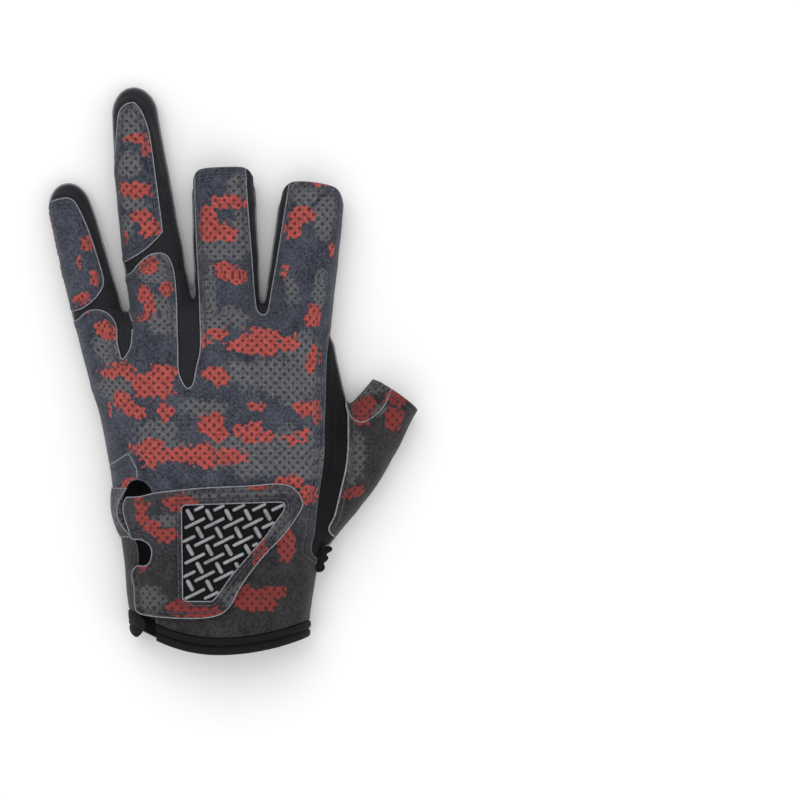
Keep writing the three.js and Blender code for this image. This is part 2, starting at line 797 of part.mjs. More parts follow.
// The badge's weave: long bars rising to the right, short ones leaning across between them.
function barOutline(centre, length, degrees) {
  const turn = THREE.MathUtils.degToRad(degrees);
  const end = new THREE.Vector2(Math.cos(turn), Math.sin(turn)).multiplyScalar(length / 2);
  const side = new THREE.Vector2(-Math.sin(turn), Math.cos(turn)).multiplyScalar(BAR_WIDTH / 2);
  const corners = [[-1, -1], [1, -1], [1, 1], [-1, 1]];
  return corners.map(([e, s]) => centre.clone().addScaledVector(end, e).addScaledVector(side, s));
}
function badgeBars() {
  const inner = prism(grown(badgeOutline, -BAR_WIDTH), -MARGIN, TALL);
  const rows = Math.ceil(BADGE_WIDTH / BAR_ROW) + 1;
  const columns = Math.ceil(BADGE_LENGTH / BAR_PITCH);
  const bars = [];
  for (let row = 0; row <= rows; row += 1) {
    for (let column = -1; column <= columns; column += 1) {
      const long = badgeAt({ reach: 0, rise: 0 });
      long.x += (0.71 + column + (row % 2) * 0.5) * BAR_PITCH;
      long.y += (0.47 + row) * BAR_ROW;
      const short = long.clone().add(new THREE.Vector2(-0.25 * BAR_PITCH, 0.48 * BAR_ROW));
      bars.push(prism(barOutline(long, LONG_BAR, 26), -MARGIN, TALL));
      bars.push(prism(barOutline(short, SHORT_BAR, -61), -MARGIN, TALL));
    }
  }
  return reliefSlab.intersect(unionOf(bars)).intersect(inner);
}

// The gathered elastic: soft ruffles hugging the side seam at the root of the thumb.
function ruffleOutline() {
  const [outer, inner] = [[], []];
  const steps = RUFFLES * 5;
  for (let i = 0; i <= steps; i += 1) {
    const share = i / steps;
    const along = 0.228 + (share * RUFFLE_LENGTH) / HAND_LENGTH;
    const swell = Math.abs(Math.sin(Math.PI * RUFFLES * share)) ** 0.7;
    const edge = hand.place(along, 1);
    const reach = SUEDE_PROUD + SEAM_GAP + RUFFLE_BASE + RUFFLE_DEPTH * swell * (0.65 + 0.35 * share);
    outer.push(edge.clone().add(new THREE.Vector2(reach, 0)));
    inner.push(edge.clone().add(new THREE.Vector2(-2 * RUFFLE_BASE, 0)));
  }
  return [...outer, ...inner.reverse()];
}

// Finishes
const suede = new THREE.MeshStandardMaterial({ color: 0x4a4d56, roughness: 0.9 });
const knit = new THREE.MeshStandardMaterial({ color: 0x201f20, roughness: 0.85 });
const binding = new THREE.MeshStandardMaterial({ color: 0x17161a, roughness: 0.8 });
const rubber = new THREE.MeshStandardMaterial({ color: 0x2b2d30, roughness: 0.45 });

// The pieces
const backPanel = sewn(suedeSkin, backOutline, BACK_HALF).subtract(ventPrism);
const wristWrap = sewn(
  suedeSkin,
  [...wrapSeam, ...on(hand, [{ along: -0.1, across: -1.4 }])],
  BACK_HALF,
).subtract(ventPrism);
const thumbWeb = sewn(suedeSkin, thumbWebOutline, BACK_HALF);
const thumbBack = without(
  sewn(suedeSkin, thumbBackOutline, [SEAM_HEIGHT - SEAM_GAP, TALL]),
  thumbWebOutline,
);
const thumbPalm = sewn(suedeSkin, thumbPalmOutline, PALM_HALF);
const palmPanel = sewn(suedeSkin, palmOutline, PALM_HALF);
const sideGore = without(sewn(stretchSkin, goreZone, BACK_HALF), backOutline, thumbBackOutline);
const littleKnit = without(sewn(stretchSkin, littleZone, BACK_HALF), backOutline, littlePatch);
const ringKnit = without(sewn(stretchSkin, ringZone, BACK_HALF), backOutline, ringPatch);
const indexKnit = without(sewn(stretchSkin, indexZone, BACK_HALF), backOutline);
const bindingSkin = bodyAt(BINDING_PROUD, [hand]).subtract(hollowAt(BINDING_PROUD + SUEDE_PROUD, [hand]));
const bindingBand = bindingSkin.intersect(prism(bindingZone, -MARGIN, TALL)).subtract(ventPrism);
const tailPrism = prism(tailZone(-TAIL_OVERHANG, BINDING_WIDTH - SEAM_GAP / 2), ...BACK_HALF);
const bindingTail = bindingSkin.subtract(ventPrism).intersect(tailPrism);
const tailCutter = prism(tailZone(-MARGIN, MARGIN), SEAM_HEIGHT - SEAM_GAP / 2, TALL);
const cuffBinding = bindingBand.subtract(tailCutter);
const strapPrism = prism(strapOutline, ...BACK_HALF);
const strap = strapSlab.intersect(strapPrism).subtract(prism(badgeOutline, -MARGIN, TALL));
const badgePlate = badgeSlab.intersect(prism(grown(badgeOutline, -SEAM_GAP), -MARGIN, TALL));
const badge = badgePlate.add(badgeBars());
const ruffle = prism(ruffleOutline(), SEAM_HEIGHT + SEAM_GAP, RUFFLE_HEIGHT).subtract(
  bodyAt(SUEDE_PROUD + SEAM_GAP, [hand, thumb]),
);

const glove = new THREE.Group();
glove.add(
  meshOf("palm_panel", palmPanel, suede),
  meshOf("back_panel", backPanel, suede),
  meshOf("wrist_wrap", wristWrap, suede),
  meshOf("thumb_panel", thumbBack.add(thumbPalm), suede),
  meshOf("thumb_web", thumbWeb, suede),
  meshOf("ring_patch", sewn(suedeSkin, ringPatch, BACK_HALF), suede),
  meshOf("little_patch", sewn(suedeSkin, littlePatch, BACK_HALF), suede),
  meshOf("ring_knit", ringKnit, knit),
  meshOf("little_knit", littleKnit, knit),
  meshOf("index_knit", indexKnit, knit),
  meshOf("side_gore", sideGore, knit),
  meshOf("wrist_ruffle", ruffle, knit),
  meshOf("cuff_binding", cuffBinding, binding),
  meshOf("binding_tail", bindingTail, binding),
  meshOf("wrist_strap", strap, suede),
  meshOf("strap_badge", badge, rubber),
);

// The frame: the origin is on the table under the middle of the glove.
const extent = new THREE.Box3().setFromObject(glove);
const centre = extent.getCenter(new THREE.Vector3());
glove.position.set(-centre.x, -centre.y, -extent.min.z);
const framed = new THREE.Group();
framed.add(glove);

export default framed;
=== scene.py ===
import math

import bmesh
import bpy
import numpy as np
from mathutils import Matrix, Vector
from mathutils.bvhtree import BVHTree
from mathutils.kdtree import KDTree


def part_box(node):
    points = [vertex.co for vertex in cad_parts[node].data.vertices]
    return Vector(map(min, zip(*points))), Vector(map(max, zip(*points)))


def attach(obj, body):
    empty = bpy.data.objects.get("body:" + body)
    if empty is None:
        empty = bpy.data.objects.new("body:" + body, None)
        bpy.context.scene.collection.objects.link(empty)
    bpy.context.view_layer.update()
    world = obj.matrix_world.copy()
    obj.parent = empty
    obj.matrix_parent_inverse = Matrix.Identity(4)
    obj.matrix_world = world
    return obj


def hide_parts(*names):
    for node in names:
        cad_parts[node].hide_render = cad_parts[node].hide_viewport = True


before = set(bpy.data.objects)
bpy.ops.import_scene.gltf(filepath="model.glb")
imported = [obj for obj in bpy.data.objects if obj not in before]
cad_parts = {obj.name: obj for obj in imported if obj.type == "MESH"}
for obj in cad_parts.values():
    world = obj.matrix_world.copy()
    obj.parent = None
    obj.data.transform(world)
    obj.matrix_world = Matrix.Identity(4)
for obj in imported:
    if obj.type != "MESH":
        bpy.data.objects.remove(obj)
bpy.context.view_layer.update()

# The form of the glove. Hand, fingers and thumb are sewn as tubes and lie palm down on the table with
# the air still in them, so each is a row of sections, full on the back and flat below. All sizes here
# are in millimetres from the middle of the cuff edge: x to the thumb, y to the fingertips, z up.
MM = 0.001
CUFF_TO_MIDDLE = (-5.110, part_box("cuff_binding")[0].y / MM)
HAND_LENGTH = 142.0
PALM_WIDTH = 101.0
WRIST_WIDTH = 68.5
PALM_HEIGHT = 30.0
SEAM_HEIGHT = 6.0
FINGER_WIDTH = 25.5
FINGER_HEIGHT = 19.0
STRETCH_WALL = 1.2
SUEDE_PROUD = 0.6
SEAM_GAP = 0.12
FULLNESS = 2.3
UNDERSIDE = 1.5
OVERLAP = 10.0
CUFF_SAG = 11.0
CUFF_SAG_THUMB = 6.5
BINDING_WIDTH = 7.0
# along, girth from wrist to palm, height, shift to the thumb
HAND_ROWS = np.array([
    (-0.1, -0.02, 0.9, -0.006), (0.1, 0.07, 0.88, -0.002), (0.18, 0.17, 0.88, -0.002),
    (0.265, 0.26, 0.9, 0.004), (0.34, 0.44, 0.93, 0.018), (0.435, 0.67, 0.97, 0.032),
    (0.52, 0.83, 1, 0.038), (0.6, 0.91, 1, 0.032), (0.69, 0.95, 0.97, 0.014),
    (0.77, 0.98, 0.91, -0.022), (0.86, 1, 0.82, -0.05),
])


def hand_row(along, column):
    """A column of the hand's rows, rounded a little between them."""
    near = np.asarray(along, float)[..., None] + np.linspace(-0.025, 0.025, 5)
    return np.interp(near, HAND_ROWS[:, 0], HAND_ROWS[:, column]).mean(-1)


class Limb:
    """The hand, a finger or the thumb: a tube along a line on the table."""

    def __init__(self, root, length, tilt, half_width, height, shift, cap, sides, folds):
        turn = math.radians(tilt)
        self.root = np.array(root, float)
        self.ahead = np.array([-math.sin(turn), math.cos(turn)])
        self.aside = np.array([math.cos(turn), math.sin(turn)])
        self.length, self.half_width, self.height, self.shift = length, half_width, height, shift
        self.cap, self.sides, self.folds = cap, sides, folds

    def place(self, along, across, past=0.0):
        sideways = self.shift(along) + across * self.half_width(along)
        return self.root + self.ahead * (along * self.length + past) + self.aside * sideways

    def line(self, *rows):
        return [self.place(along, across) for along, across in rows]

    def section(self, along, lean, outset, floor):
        shrink = math.cos(lean)
        forward = along * self.length + (self.cap + outset) * math.sin(lean)
        angle = np.linspace(0, 2 * math.pi, self.sides, endpoint=False)
        c, s = np.cos(angle), np.sin(angle)
        rise = (self.height(along) - SEAM_HEIGHT + outset) * shrink
        drop = (SEAM_HEIGHT * UNDERSIDE + outset) * shrink
        half = (self.half_width(along) + outset) * shrink
        sideways = self.shift(along) + half * np.sign(c) * np.abs(c) ** (2 / FULLNESS)
        up = np.where(s > 0, rise, drop) * np.sign(s) * np.abs(s) ** (2 / FULLNESS)
        plan = self.root + self.ahead * forward + sideways[:, None] * self.aside
        return np.column_stack([plan, np.maximum(floor, SEAM_HEIGHT + up)])

    def tube(self, outset, floor, behind):
        last = 1 - self.cap / self.length if self.cap else 1 + OVERLAP / self.length
        count = int(self.length / 2.5)
        rings = [self.section(a, 0, outset, floor) for a in np.linspace(-behind / self.length, last, count)]
        if self.cap:
            rings += [self.section(last, math.radians(d), outset, floor) for d in range(9, 87, 7)]
        return rings


hand = Limb(
    (0, 0), HAND_LENGTH, 0,
    lambda a: (WRIST_WIDTH + (PALM_WIDTH - WRIST_WIDTH) * hand_row(a, 1)) / 2,
    lambda a: PALM_HEIGHT * hand_row(a, 2),
    lambda a: PALM_WIDTH * hand_row(a, 3),
    22.0, 96, (),
)


def finger(root, length, tilt, width, height, closed, folds):
    """width is root, tip, belly and bow as shares of FINGER_WIDTH, height root and tip of FINGER_HEIGHT."""
    def taper(a):
        return np.maximum(0, a) ** 2

    def bulge(a):
        return 4 * a * (1 - a)

    return Limb(
        hand.place(*root), length, tilt,
        lambda a: FINGER_WIDTH * (width[0] + (width[1] - width[0]) * taper(a) + width[2] * bulge(a) ** 2) / 2,
        lambda a: FINGER_HEIGHT * (height[0] + (height[1] - height[0]) * taper(a)),
        lambda a: FINGER_WIDTH * width[3] * bulge(a),
        1.4 * FINGER_WIDTH * width[1] / 2 if closed else 0.0, 56, folds,
    )


little = finger(
    (0.83, -0.8), 72.4, 14.7, (0.76, 0.59, 0, 0), (0.895, 0.66), True, ((0.29, 0.8), (0.62, 0.4))
)
ring = finger(
    (0.86, -0.305), 105.5, 8.2, (0.957, 0.608, 0, -0.06), (0.974, 0.685), True, ((0.31, 0.9), (0.6, 0.5))
)
middle = finger((0.86, 0.163), 73.5, 2, (1, 0.94, 0, 0), (1, 0.84), False, ((0.42, 0.7), (0.7, 0.4)))
index = finger(
    (0.86, 0.674), 68.0, -7.1, (1.043, 0.95, 0, 0), (1, 0.84), False, ((0.45, 0.8), (0.22, 0.4))
)
thumb = finger(
    (0.352, 0.745), 67.0, -34.5, (0.94, 0.8, 0.18, 0), (1.1, 0.87), False, ((0.35, 0.8), (0.62, 0.65))
)
all_limbs = [hand, little, ring, middle, index, thumb]
cut_fingers = [middle, index, thumb]


def placed(points):
    """Millimetres on the glove as metres in the frame."""
    points = np.asarray(points, float)
    return (points + np.array([*CUFF_TO_MIDDLE, 0.0])[: points.shape[1]]) * MM


def on_glove(points):
    """Metres in the frame as millimetres on the glove."""
    return np.array(points) / MM - np.array([*CUFF_TO_MIDDLE, 0.0])


def points_of(mesh):
    co = np.empty(len(mesh.vertices) * 3)
    mesh.vertices.foreach_get("co", co)
    return on_glove(co.reshape(-1, 3))


def mesh_of(name, points, faces):
    mesh = bpy.data.meshes.new(name)
    mesh.from_pydata(placed(points).tolist(), [], faces)
    mesh.update()
    return mesh


def loft(rings, closed=False):
    """The points and faces through rings of equal count, capped unless the last meets the first."""
    sides, faces = len(rings[0]), []
    for r in range(len(rings) - (0 if closed else 1)):
        for i in range(sides):
            a, b = r * sides, ((r + 1) % len(rings)) * sides
            j = (i + 1) % sides
            faces.append((a + i, a + j, b + j, b + i))
    if not closed:
        faces.append(tuple(reversed(range(sides))))
        faces.append(tuple(range((len(rings) - 1) * sides, len(rings) * sides)))
    return np.concatenate(rings), faces


def changed(mesh, *modifiers):
    """The mesh after modifiers, each a type and its settings."""
    holder = bpy.data.objects.new("holder", mesh)
    bpy.context.scene.collection.objects.link(holder)
    for kind, settings in modifiers:
        modifier = holder.modifiers.new(kind, kind)
        for setting, value in settings.items():
            setattr(modifier, setting, value)
    depsgraph = bpy.context.evaluated_depsgraph_get()
    result = bpy.data.meshes.new_from_object(holder.evaluated_get(depsgraph), depsgraph=depsgraph)
    bpy.data.objects.remove(holder)
    return result


def joined(parts):
    points, faces, count = [], [], 0
    for part_points, part_faces in parts:
        points.append(part_points)
        faces += [tuple(i + count for i in face) for face in part_faces]
        count += len(part_points)
    return np.concatenate(points), faces


def skin_over(limbs, outset, floor, thumb_behind, voxel):
    """One closed skin over the tubes, its corners softened as cloth's are."""
    tubes = [loft(limb.tube(outset, floor, thumb_behind if limb is thumb else OVERLAP)) for limb in limbs]
    mesh = mesh_of("skin", *joined(tubes))
    return changed(
        mesh,
        ("REMESH", {"mode": "VOXEL", "voxel_size": voxel * MM}),
        ("SMOOTH", {"factor": 0.5, "iterations": 8}),
    )


# Its seams. Every seam is drawn once in plan, as the pattern cutter marks it, and is shared by the
# pieces on both sides. Rows are shares along and across one limb.
def smooth(points, per_span=6):
    points = [np.asarray(p, float) for p in points]
    made, last = [], len(points) - 1
    for i in range(last):
        a, b, c, d = points[max(i - 1, 0)], points[i], points[i + 1], points[min(i + 2, last)]
        for t in np.arange(per_span) / per_span:
            square, cube = 2 * a - 5 * b + 4 * c - d, 3 * b - a - 3 * c + d
            made.append(0.5 * (2 * b + (c - a) * t + square * t**2 + cube * t**3))
    return made + [points[-1]]


vent = smooth(hand.line(
    (-0.1, -0.71), (0.04, -0.71), (0.15, -0.7), (0.29, -0.7), (0.434, -0.66), (0.473, -0.68), (0.49, -0.75),
    (0.487, -0.83), (0.465, -0.89), (0.434, -0.93), (0.4, -0.945), (0.36, -0.925), (0.33, -0.88),
    (0.3, -0.85), (0.255, -0.86), (0.226, -0.93), (0.18, -0.945), (0.135, -0.93), (0.09, -0.84),
    (0.04, -0.82), (-0.1, -0.82),
))
wrap_seam = hand.line(
    (-0.1, -0.765), (0.29, -0.775), (0.47, -0.78), (0.524, -0.77), (0.566, -0.82), (0.535, -0.98),
    (0.52, -1.3),
)
little_tongue = smooth(
    little.line((0.24, -1.35), (0.257, -0.83), (0.285, -0.39), (0.28, 0.08), (0.24, 0.48))
    + hand.line(
        (0.924, -0.72), (0.879, -0.71), (0.85, -0.7), (0.83, -0.69), (0.845, -0.64), (0.87, -0.6),
        (0.913, -0.59),
    )
)
little_web = hand.line((0.938, -0.595)) + ring.line((0.19, -1.14), (0.27, -1.32))
ring_tongue = smooth(
    ring.line(
        (0.285, -1.3), (0.306, -0.81), (0.334, -0.51), (0.361, -0.1), (0.363, 0.3), (0.342, 0.54),
        (0.29, 0.62), (0.207, 0.57),
    )
    + hand.line(
        (0.87, -0.23), (0.8, -0.26), (0.761, -0.25), (0.748, -0.22), (0.761, -0.17), (0.8, -0.12),
        (0.87, -0.05),
    )
    + middle.line((0.27, -0.86), (0.54, -0.9), (0.82, -0.93), (1.2, -0.95))
)
index_gap = smooth(
    middle.line((1.2, 0.76), (0.8, 0.78), (0.48, 0.84), (0.32, 0.87))
    + hand.line((0.972, 0.39), (0.955, 0.44), (0.968, 0.48))
    + index.line((0.35, -0.86), (0.5, -0.83), (0.8, -0.8), (1.2, -0.78))
)
thumb_side_seam = smooth(hand.line(
    (0.97, 1.3), (0.915, 1), (0.87, 0.955), (0.8, 0.91), (0.744, 0.87), (0.631, 0.8), (0.546, 0.79),
    (0.425, 0.81), (0.349, 0.87), (0.279, 0.94), (0.235, 1.3),
))
back_outline = (
    wrap_seam + hand.line((0.75, -1.4)) + little_tongue + little_web + ring_tongue + index_gap
    + index.line((1.2, 2.4)) + thumb_side_seam + hand.line((-0.1, 1.4))
)
wrap_outline = wrap_seam + hand.line((-0.1, -1.4))
little_patch_outline = smooth(little.line(
    (0.92, -1.3), (0.928, -0.5), (0.915, 0.15), (0.856, 0.42), (0.712, 0.6), (0.537, 0.65), (0.437, 0.64),
    (0.387, 0.47), (0.339, 0.02), (0.308, -0.66), (0.32, -1.3),
))
ring_patch_outline = smooth(ring.line(
    (0.66, -1.35), (0.74, -1.06), (0.83, -0.88), (0.905, -0.76), (0.936, -0.5), (0.945, -0.12),
    (0.937, 0.11), (0.901, 0.36), (0.831, 0.54), (0.721, 0.56), (0.586, 0.53), (0.465, 0.49), (0.435, 0.41),
    (0.384, -0.22), (0.353, -0.9), (0.343, -1.35),
))
thumb_seam = smooth(hand.line(
    (0.81, 1.18), (0.715, 1.01), (0.67, 1), (0.589, 0.985), (0.524, 0.98), (0.459, 0.98), (0.392, 1),
    (0.344, 1.01), (0.3, 1.3),
))
round_thumb = thumb.line((0.05, 2.2), (0.5, 1.8), (1.2, 1.8), (1.2, -1.6))
thumb_web_outline = smooth(thumb.line(
    (1.2, -0.3), (0.988, -0.25), (0.902, -0.12), (0.826, -0.14), (0.75, -0.28), (0.715, -0.5), (0.72, -0.8),
    (0.778, -1.26), (0.85, -1.5), (1.2, -1.6),
))
palm_arc = smooth(hand.line(
    (0.235, 1.4), (0.25, 1), (0.265, 0.77), (0.3, 0.5), (0.345, 0.32), (0.42, 0.22), (0.5, 0.24),
    (0.585, 0.36), (0.64, 0.48), (0.668, 0.6),
))
palm_keyhole = smooth(hand.line(
    (0.66, 0.64), (0.61, 0.68), (0.575, 0.75), (0.56, 0.84), (0.585, 0.92), (0.64, 0.97), (0.715, 0.99),
    (0.81, 1.14),
))
thumb_back_outline = thumb_seam + round_thumb
thumb_palm_outline = palm_arc + palm_keyhole + round_thumb[::-1]
palm_outline = (
    palm_arc + palm_keyhole + hand.line((0.95, 1.5)) + index.line((1.3, 2)) + ring.line((1.2, 2), (1.2, -3))
    + little.line((1.2, -3)) + hand.line((-0.1, -1.6), (-0.1, 1.6))
)
little_zone = (
    little.line((1.2, -3), (0.22, -1.6))
    + hand.line((0.86, -0.85), (0.78, -0.75), (0.78, -0.6), (0.92, -0.54))
    + little.line((0.43, 1.3), (0.7, 1.5), (1.2, 2))
)
ring_zone = (
    ring.line((1.2, -2), (0.37, -1.5), (0.27, -1.25), (0.15, 0)) + hand.line((0.7, -0.3), (0.7, -0.1))
    + middle.line((0.2, -0.2), (1.2, -0.2), (1.2, -1.4)) + ring.line((1.2, 2))
)
index_zone = (
    middle.line((1.2, 0.3), (0.3, 0.3)) + hand.line((0.9, 0.44)) + index.line((0.3, -0.3), (1.2, -0.3))
)
gore_zone = hand.line((0.97, 0.9), (0.5, 0.7), (0.2, 0.8), (0.2, 1.4), (0.5, 1.25), (0.97, 1.35))
strap_root = hand.place(0.29, -1.0)
STRAP_REACH = 72.0
STRAP_WIDTH = 53.0
strap_outline = smooth([
    strap_root + np.array([reach * STRAP_REACH, rise * STRAP_WIDTH / 2]) for reach, rise in (
        (0.02, 0.815), (0.1, 0.83), (0.2, 0.89), (0.45, 0.96), (0.7, 0.99), (0.85, 1.02), (0.94, 0.97),
        (0.99, 0.8), (0.99, 0.64), (0.9, 0.28), (0.77, -0.1), (0.66, -0.5), (0.6, -0.8), (0.53, -0.95),
        (0.4, -1), (0.2, -0.98), (0.09, -0.93), (0.066, -0.82), (0.06, -0.55), (0.047, -0.33),
        (0.08, -0.22), (0.12, -0.22), (0.15, -0.16), (0.163, 0), (0.145, 0.11), (0.1, 0.18), (0.05, 0.19),
        (0.03, 0.33), (0.012, 0.47), (0, 0.62), (0.004, 0.74),
    )
])
BADGE_LENGTH = 41.5
BADGE_WIDTH = 39.0
badge_corner = strap_root + np.array([STRAP_REACH * 0.328, STRAP_WIDTH * 0.358 - BADGE_WIDTH])
badge_outline = [
    badge_corner + np.array([reach * BADGE_LENGTH, rise * BADGE_WIDTH]) for reach, rise in (
        (0.034, 0.992), (0.9, 1.023), (0.978, 1.018), (0.993, 0.985), (0.978, 0.93), (0.805, 0.669),
        (0.492, 0.285), (0.33, 0.044), (0.294, 0.008), (0.043, 0.008), (0.012, 0.036), (0.002, 0.965),
    )
]


def spaced(line, step, closed=False):
    """Points at even steps along a line."""
    line = np.array(list(line) + ([line[0]] if closed else []), float)
    run = np.concatenate([[0], np.cumsum(np.linalg.norm(np.diff(line, axis=0), axis=1))])
    at = np.linspace(0, run[-1], max(2, int(run[-1] / step) + 1))
    return np.column_stack([np.interp(at, run, line[:, k]) for k in range(line.shape[1])])


def grown(outline, by):
    """An outline moved outwards, or inwards where by is negative."""
    p = np.array(outline, float)
    before, after = np.roll(p, 1, 0), np.roll(p, -1, 0)
    area = np.sum(p[:, 0] * after[:, 1] - after[:, 0] * p[:, 1])
    into, out = p - before, after - p
    into /= np.maximum(np.linalg.norm(into, axis=1), 1e-9)[:, None]
    out /= np.maximum(np.linalg.norm(out, axis=1), 1e-9)[:, None]
    normal = np.column_stack([into[:, 1] + out[:, 1], -into[:, 0] - out[:, 0]])
    normal /= np.maximum(np.linalg.norm(normal, axis=1), 1e-9)[:, None]
    spread = np.maximum(0.35, normal[:, 0] * into[:, 1] - normal[:, 1] * into[:, 0])
    return p + normal * (math.copysign(1, area) * by / spread)[:, None]


class Nearest:
    """How far points are from a set of seams, in plan."""

    def __init__(self, *lines, step=0.4):
        dots = np.concatenate([spaced(line, step) for line in lines])
        self.tree = KDTree(len(dots))
        for i, (x, y) in enumerate(dots):
            self.tree.insert((x, y, 0), i)
        self.tree.balance()

    def distance(self, points):
        return np.array([self.tree.find((x, y, 0))[2] for x, y in points[:, :2]])


back_seams = Nearest(
    wrap_seam, little_tongue, little_web, ring_tongue, index_gap, thumb_side_seam,
    little_patch_outline, ring_patch_outline, thumb_seam, thumb_web_outline,
)
FOLD_DEPTH = 1.0
ROLL = 0.28
draw = np.random.default_rng(7)
WAVES = [
    (2 * math.pi / draw.uniform(13, 42), draw.uniform(0, math.pi), draw.uniform(0, 2 * math.pi))
    for _ in range(14)
]
WAVE_DEPTH = 0.1


def step_up(low, high, x):
    t = np.clip((x - low) / (high - low), 0, 1)
    return t * t * (3 - 2 * t)


def rumple(points):
    """How far the soft cloth stands out of the plain form: creases, pillows and puckered seams."""
    x, y, z = points.T
    back = step_up(5, 12, z)
    out = np.zeros(len(points))
    for number, turn, start in WAVES:
        out += WAVE_DEPTH * np.sin(number * (x * math.cos(turn) + y * math.sin(turn)) + start)
    out *= 0.35 + 0.65 * step_up(60, 90, y)
    for limb in all_limbs:
        off = points[:, :2] - limb.root
        forward, sideways = off @ limb.ahead, off @ limb.aside
        for along, depth in limb.folds:
            half = float(limb.half_width(along))
            aside = sideways - float(limb.shift(along))
            away = forward - along * limb.length - 1.6 * np.sin(aside / half * 2.2 + 9 * along)
            within = 1 - step_up(half * 0.92, half * 1.12, np.abs(aside))
            crease = -np.exp(-(away / 1.9) ** 2) + 0.45 * np.exp(-((np.abs(away) - 5.5) / 3.2) ** 2)
            out += FOLD_DEPTH * depth * crease * within
    seam = back_seams.distance(points)
    roll = ROLL * np.exp(-((seam - 1.5) / 1.1) ** 2) - 1.2 * ROLL * np.exp(-((seam - 3.0) / 0.8) ** 2)
    return back * (out + roll) + 0.25 * (1 - back) * out


def rumpled(mesh, form=rumple):
    """The mesh moved along its normals by a form, and kept above the table."""
    points = points_of(mesh)
    normals = np.empty(len(points) * 3)
    mesh.vertices.foreach_get("normal", normals)
    normals = normals.reshape(-1, 3)
    moved = points + normals * form(points)[:, None]
    moved[:, 2] = np.maximum(moved[:, 2], 0.0)
    mesh.vertices.foreach_set("co", placed(moved).ravel())
    mesh.update()
    return mesh


def in_slot(mesh, slot):
    """The mesh with all its faces in one material slot: 0 outside, 1 lining, 2 cut edge."""
    mesh.polygons.foreach_set("material_index", [slot] * len(mesh.polygons))
    return mesh


suede_skin = in_slot(rumpled(skin_over(all_limbs, SUEDE_PROUD, 0.0, 0.0, 0.8)), 0)
knit_skin = in_slot(rumpled(skin_over(all_limbs, 0.0, 0.0, 0.0, 0.9)), 0)
hollow_skin = skin_over(all_limbs, -STRETCH_WALL, STRETCH_WALL + SUEDE_PROUD, -2.0, 1.3)
hollow_skin = in_slot(rumpled(hollow_skin), 1)


def facing_out(mesh):
    """The mesh with its faces turned outwards and its caps in triangles."""
    drawn = bmesh.new()
    drawn.from_mesh(mesh)
    bmesh.ops.recalc_face_normals(drawn, faces=drawn.faces)
    bmesh.ops.triangulate(drawn, faces=[face for face in drawn.faces if len(face.verts) > 4])
    drawn.to_mesh(mesh)
    drawn.free()
    return mesh


def prism(outline, low, high, slot=2):
    """A cutter over an outline. Its faces take the cut edge's slot, or the one given."""
    rings = [np.column_stack([outline, np.full(len(outline), level)]) for level in (low, high)]
    return in_slot(facing_out(mesh_of("cutter", *loft(rings))), slot)


def cut(mesh, operation, tool):
    for each in (mesh, tool):
        while len(each.materials) < 3:
            each.materials.append(None)
    knife = bpy.data.objects.new("knife", tool)
    bpy.context.scene.collection.objects.link(knife)
    result = changed(mesh, ("BOOLEAN", {
        "operation": operation, "solver": "MANIFOLD", "object": knife, "material_mode": "INDEX",
    }))
    bpy.data.objects.remove(knife)
    return result


TALL = 60.0
DEEP = -20.0
BACK_HALF = (SEAM_HEIGHT + SEAM_GAP / 2, TALL)
PALM_HALF = (DEEP, SEAM_HEIGHT - SEAM_GAP / 2)
PALM_CUT_BACK = 3.0
# how far the cut edge of each fingertip falls back: all of it, by its arc, and at its corners
TIP_SHAPES = {middle: (0.8, 0.4, 3.6), index: (0.9, 1.4, 3.6), thumb: (0.6, 0.6, 0.3)}


def tip_drop(limb, across):
    back, arc, corner = TIP_SHAPES[limb]
    return back + arc * across**2 + corner * min(abs(across), 1.1) ** 8


def past_tip(limb, back, low, high):
    """Everything beyond the cut end of a finger."""
    edge = [limb.place(1, a, -tip_drop(limb, a) - back) for a in np.linspace(-1.5, 1.5, 61)]
    return prism(edge + [limb.place(1, 1.5, 20), limb.place(1, -1.5, 20)], low, high, slot=1)


def cuff_sag(across):
    """How far the cuff's edge is drawn up, more on the little finger's side."""
    return np.where(across < 0, CUFF_SAG, CUFF_SAG_THUMB) * across**2


def cuff_line(lift, start=-1.6, end=1.6, steps=64):
    return [
        hand.place((float(cuff_sag(a)) + lift) / HAND_LENGTH, a)
        for a in np.linspace(start, end, steps + 1)
    ]


beyond = [np.array(corner) for corner in ((130, 30), (130, 250), (-130, 250), (-130, 30))]
body_zone = cuff_line(BINDING_WIDTH + SEAM_GAP / 2) + beyond
hollow = hollow_skin
for limb in cut_fingers:
    hollow = cut(hollow, "UNION", past_tip(limb, 0, SEAM_HEIGHT, TALL))
    hollow = cut(hollow, "UNION", past_tip(limb, PALM_CUT_BACK, DEEP, SEAM_HEIGHT))
suede_shell = cut(cut(suede_skin, "DIFFERENCE", hollow), "INTERSECT", prism(body_zone, DEEP, TALL))
knit_shell = cut(cut(knit_skin, "DIFFERENCE", hollow), "INTERSECT", prism(body_zone, DEEP, TALL))


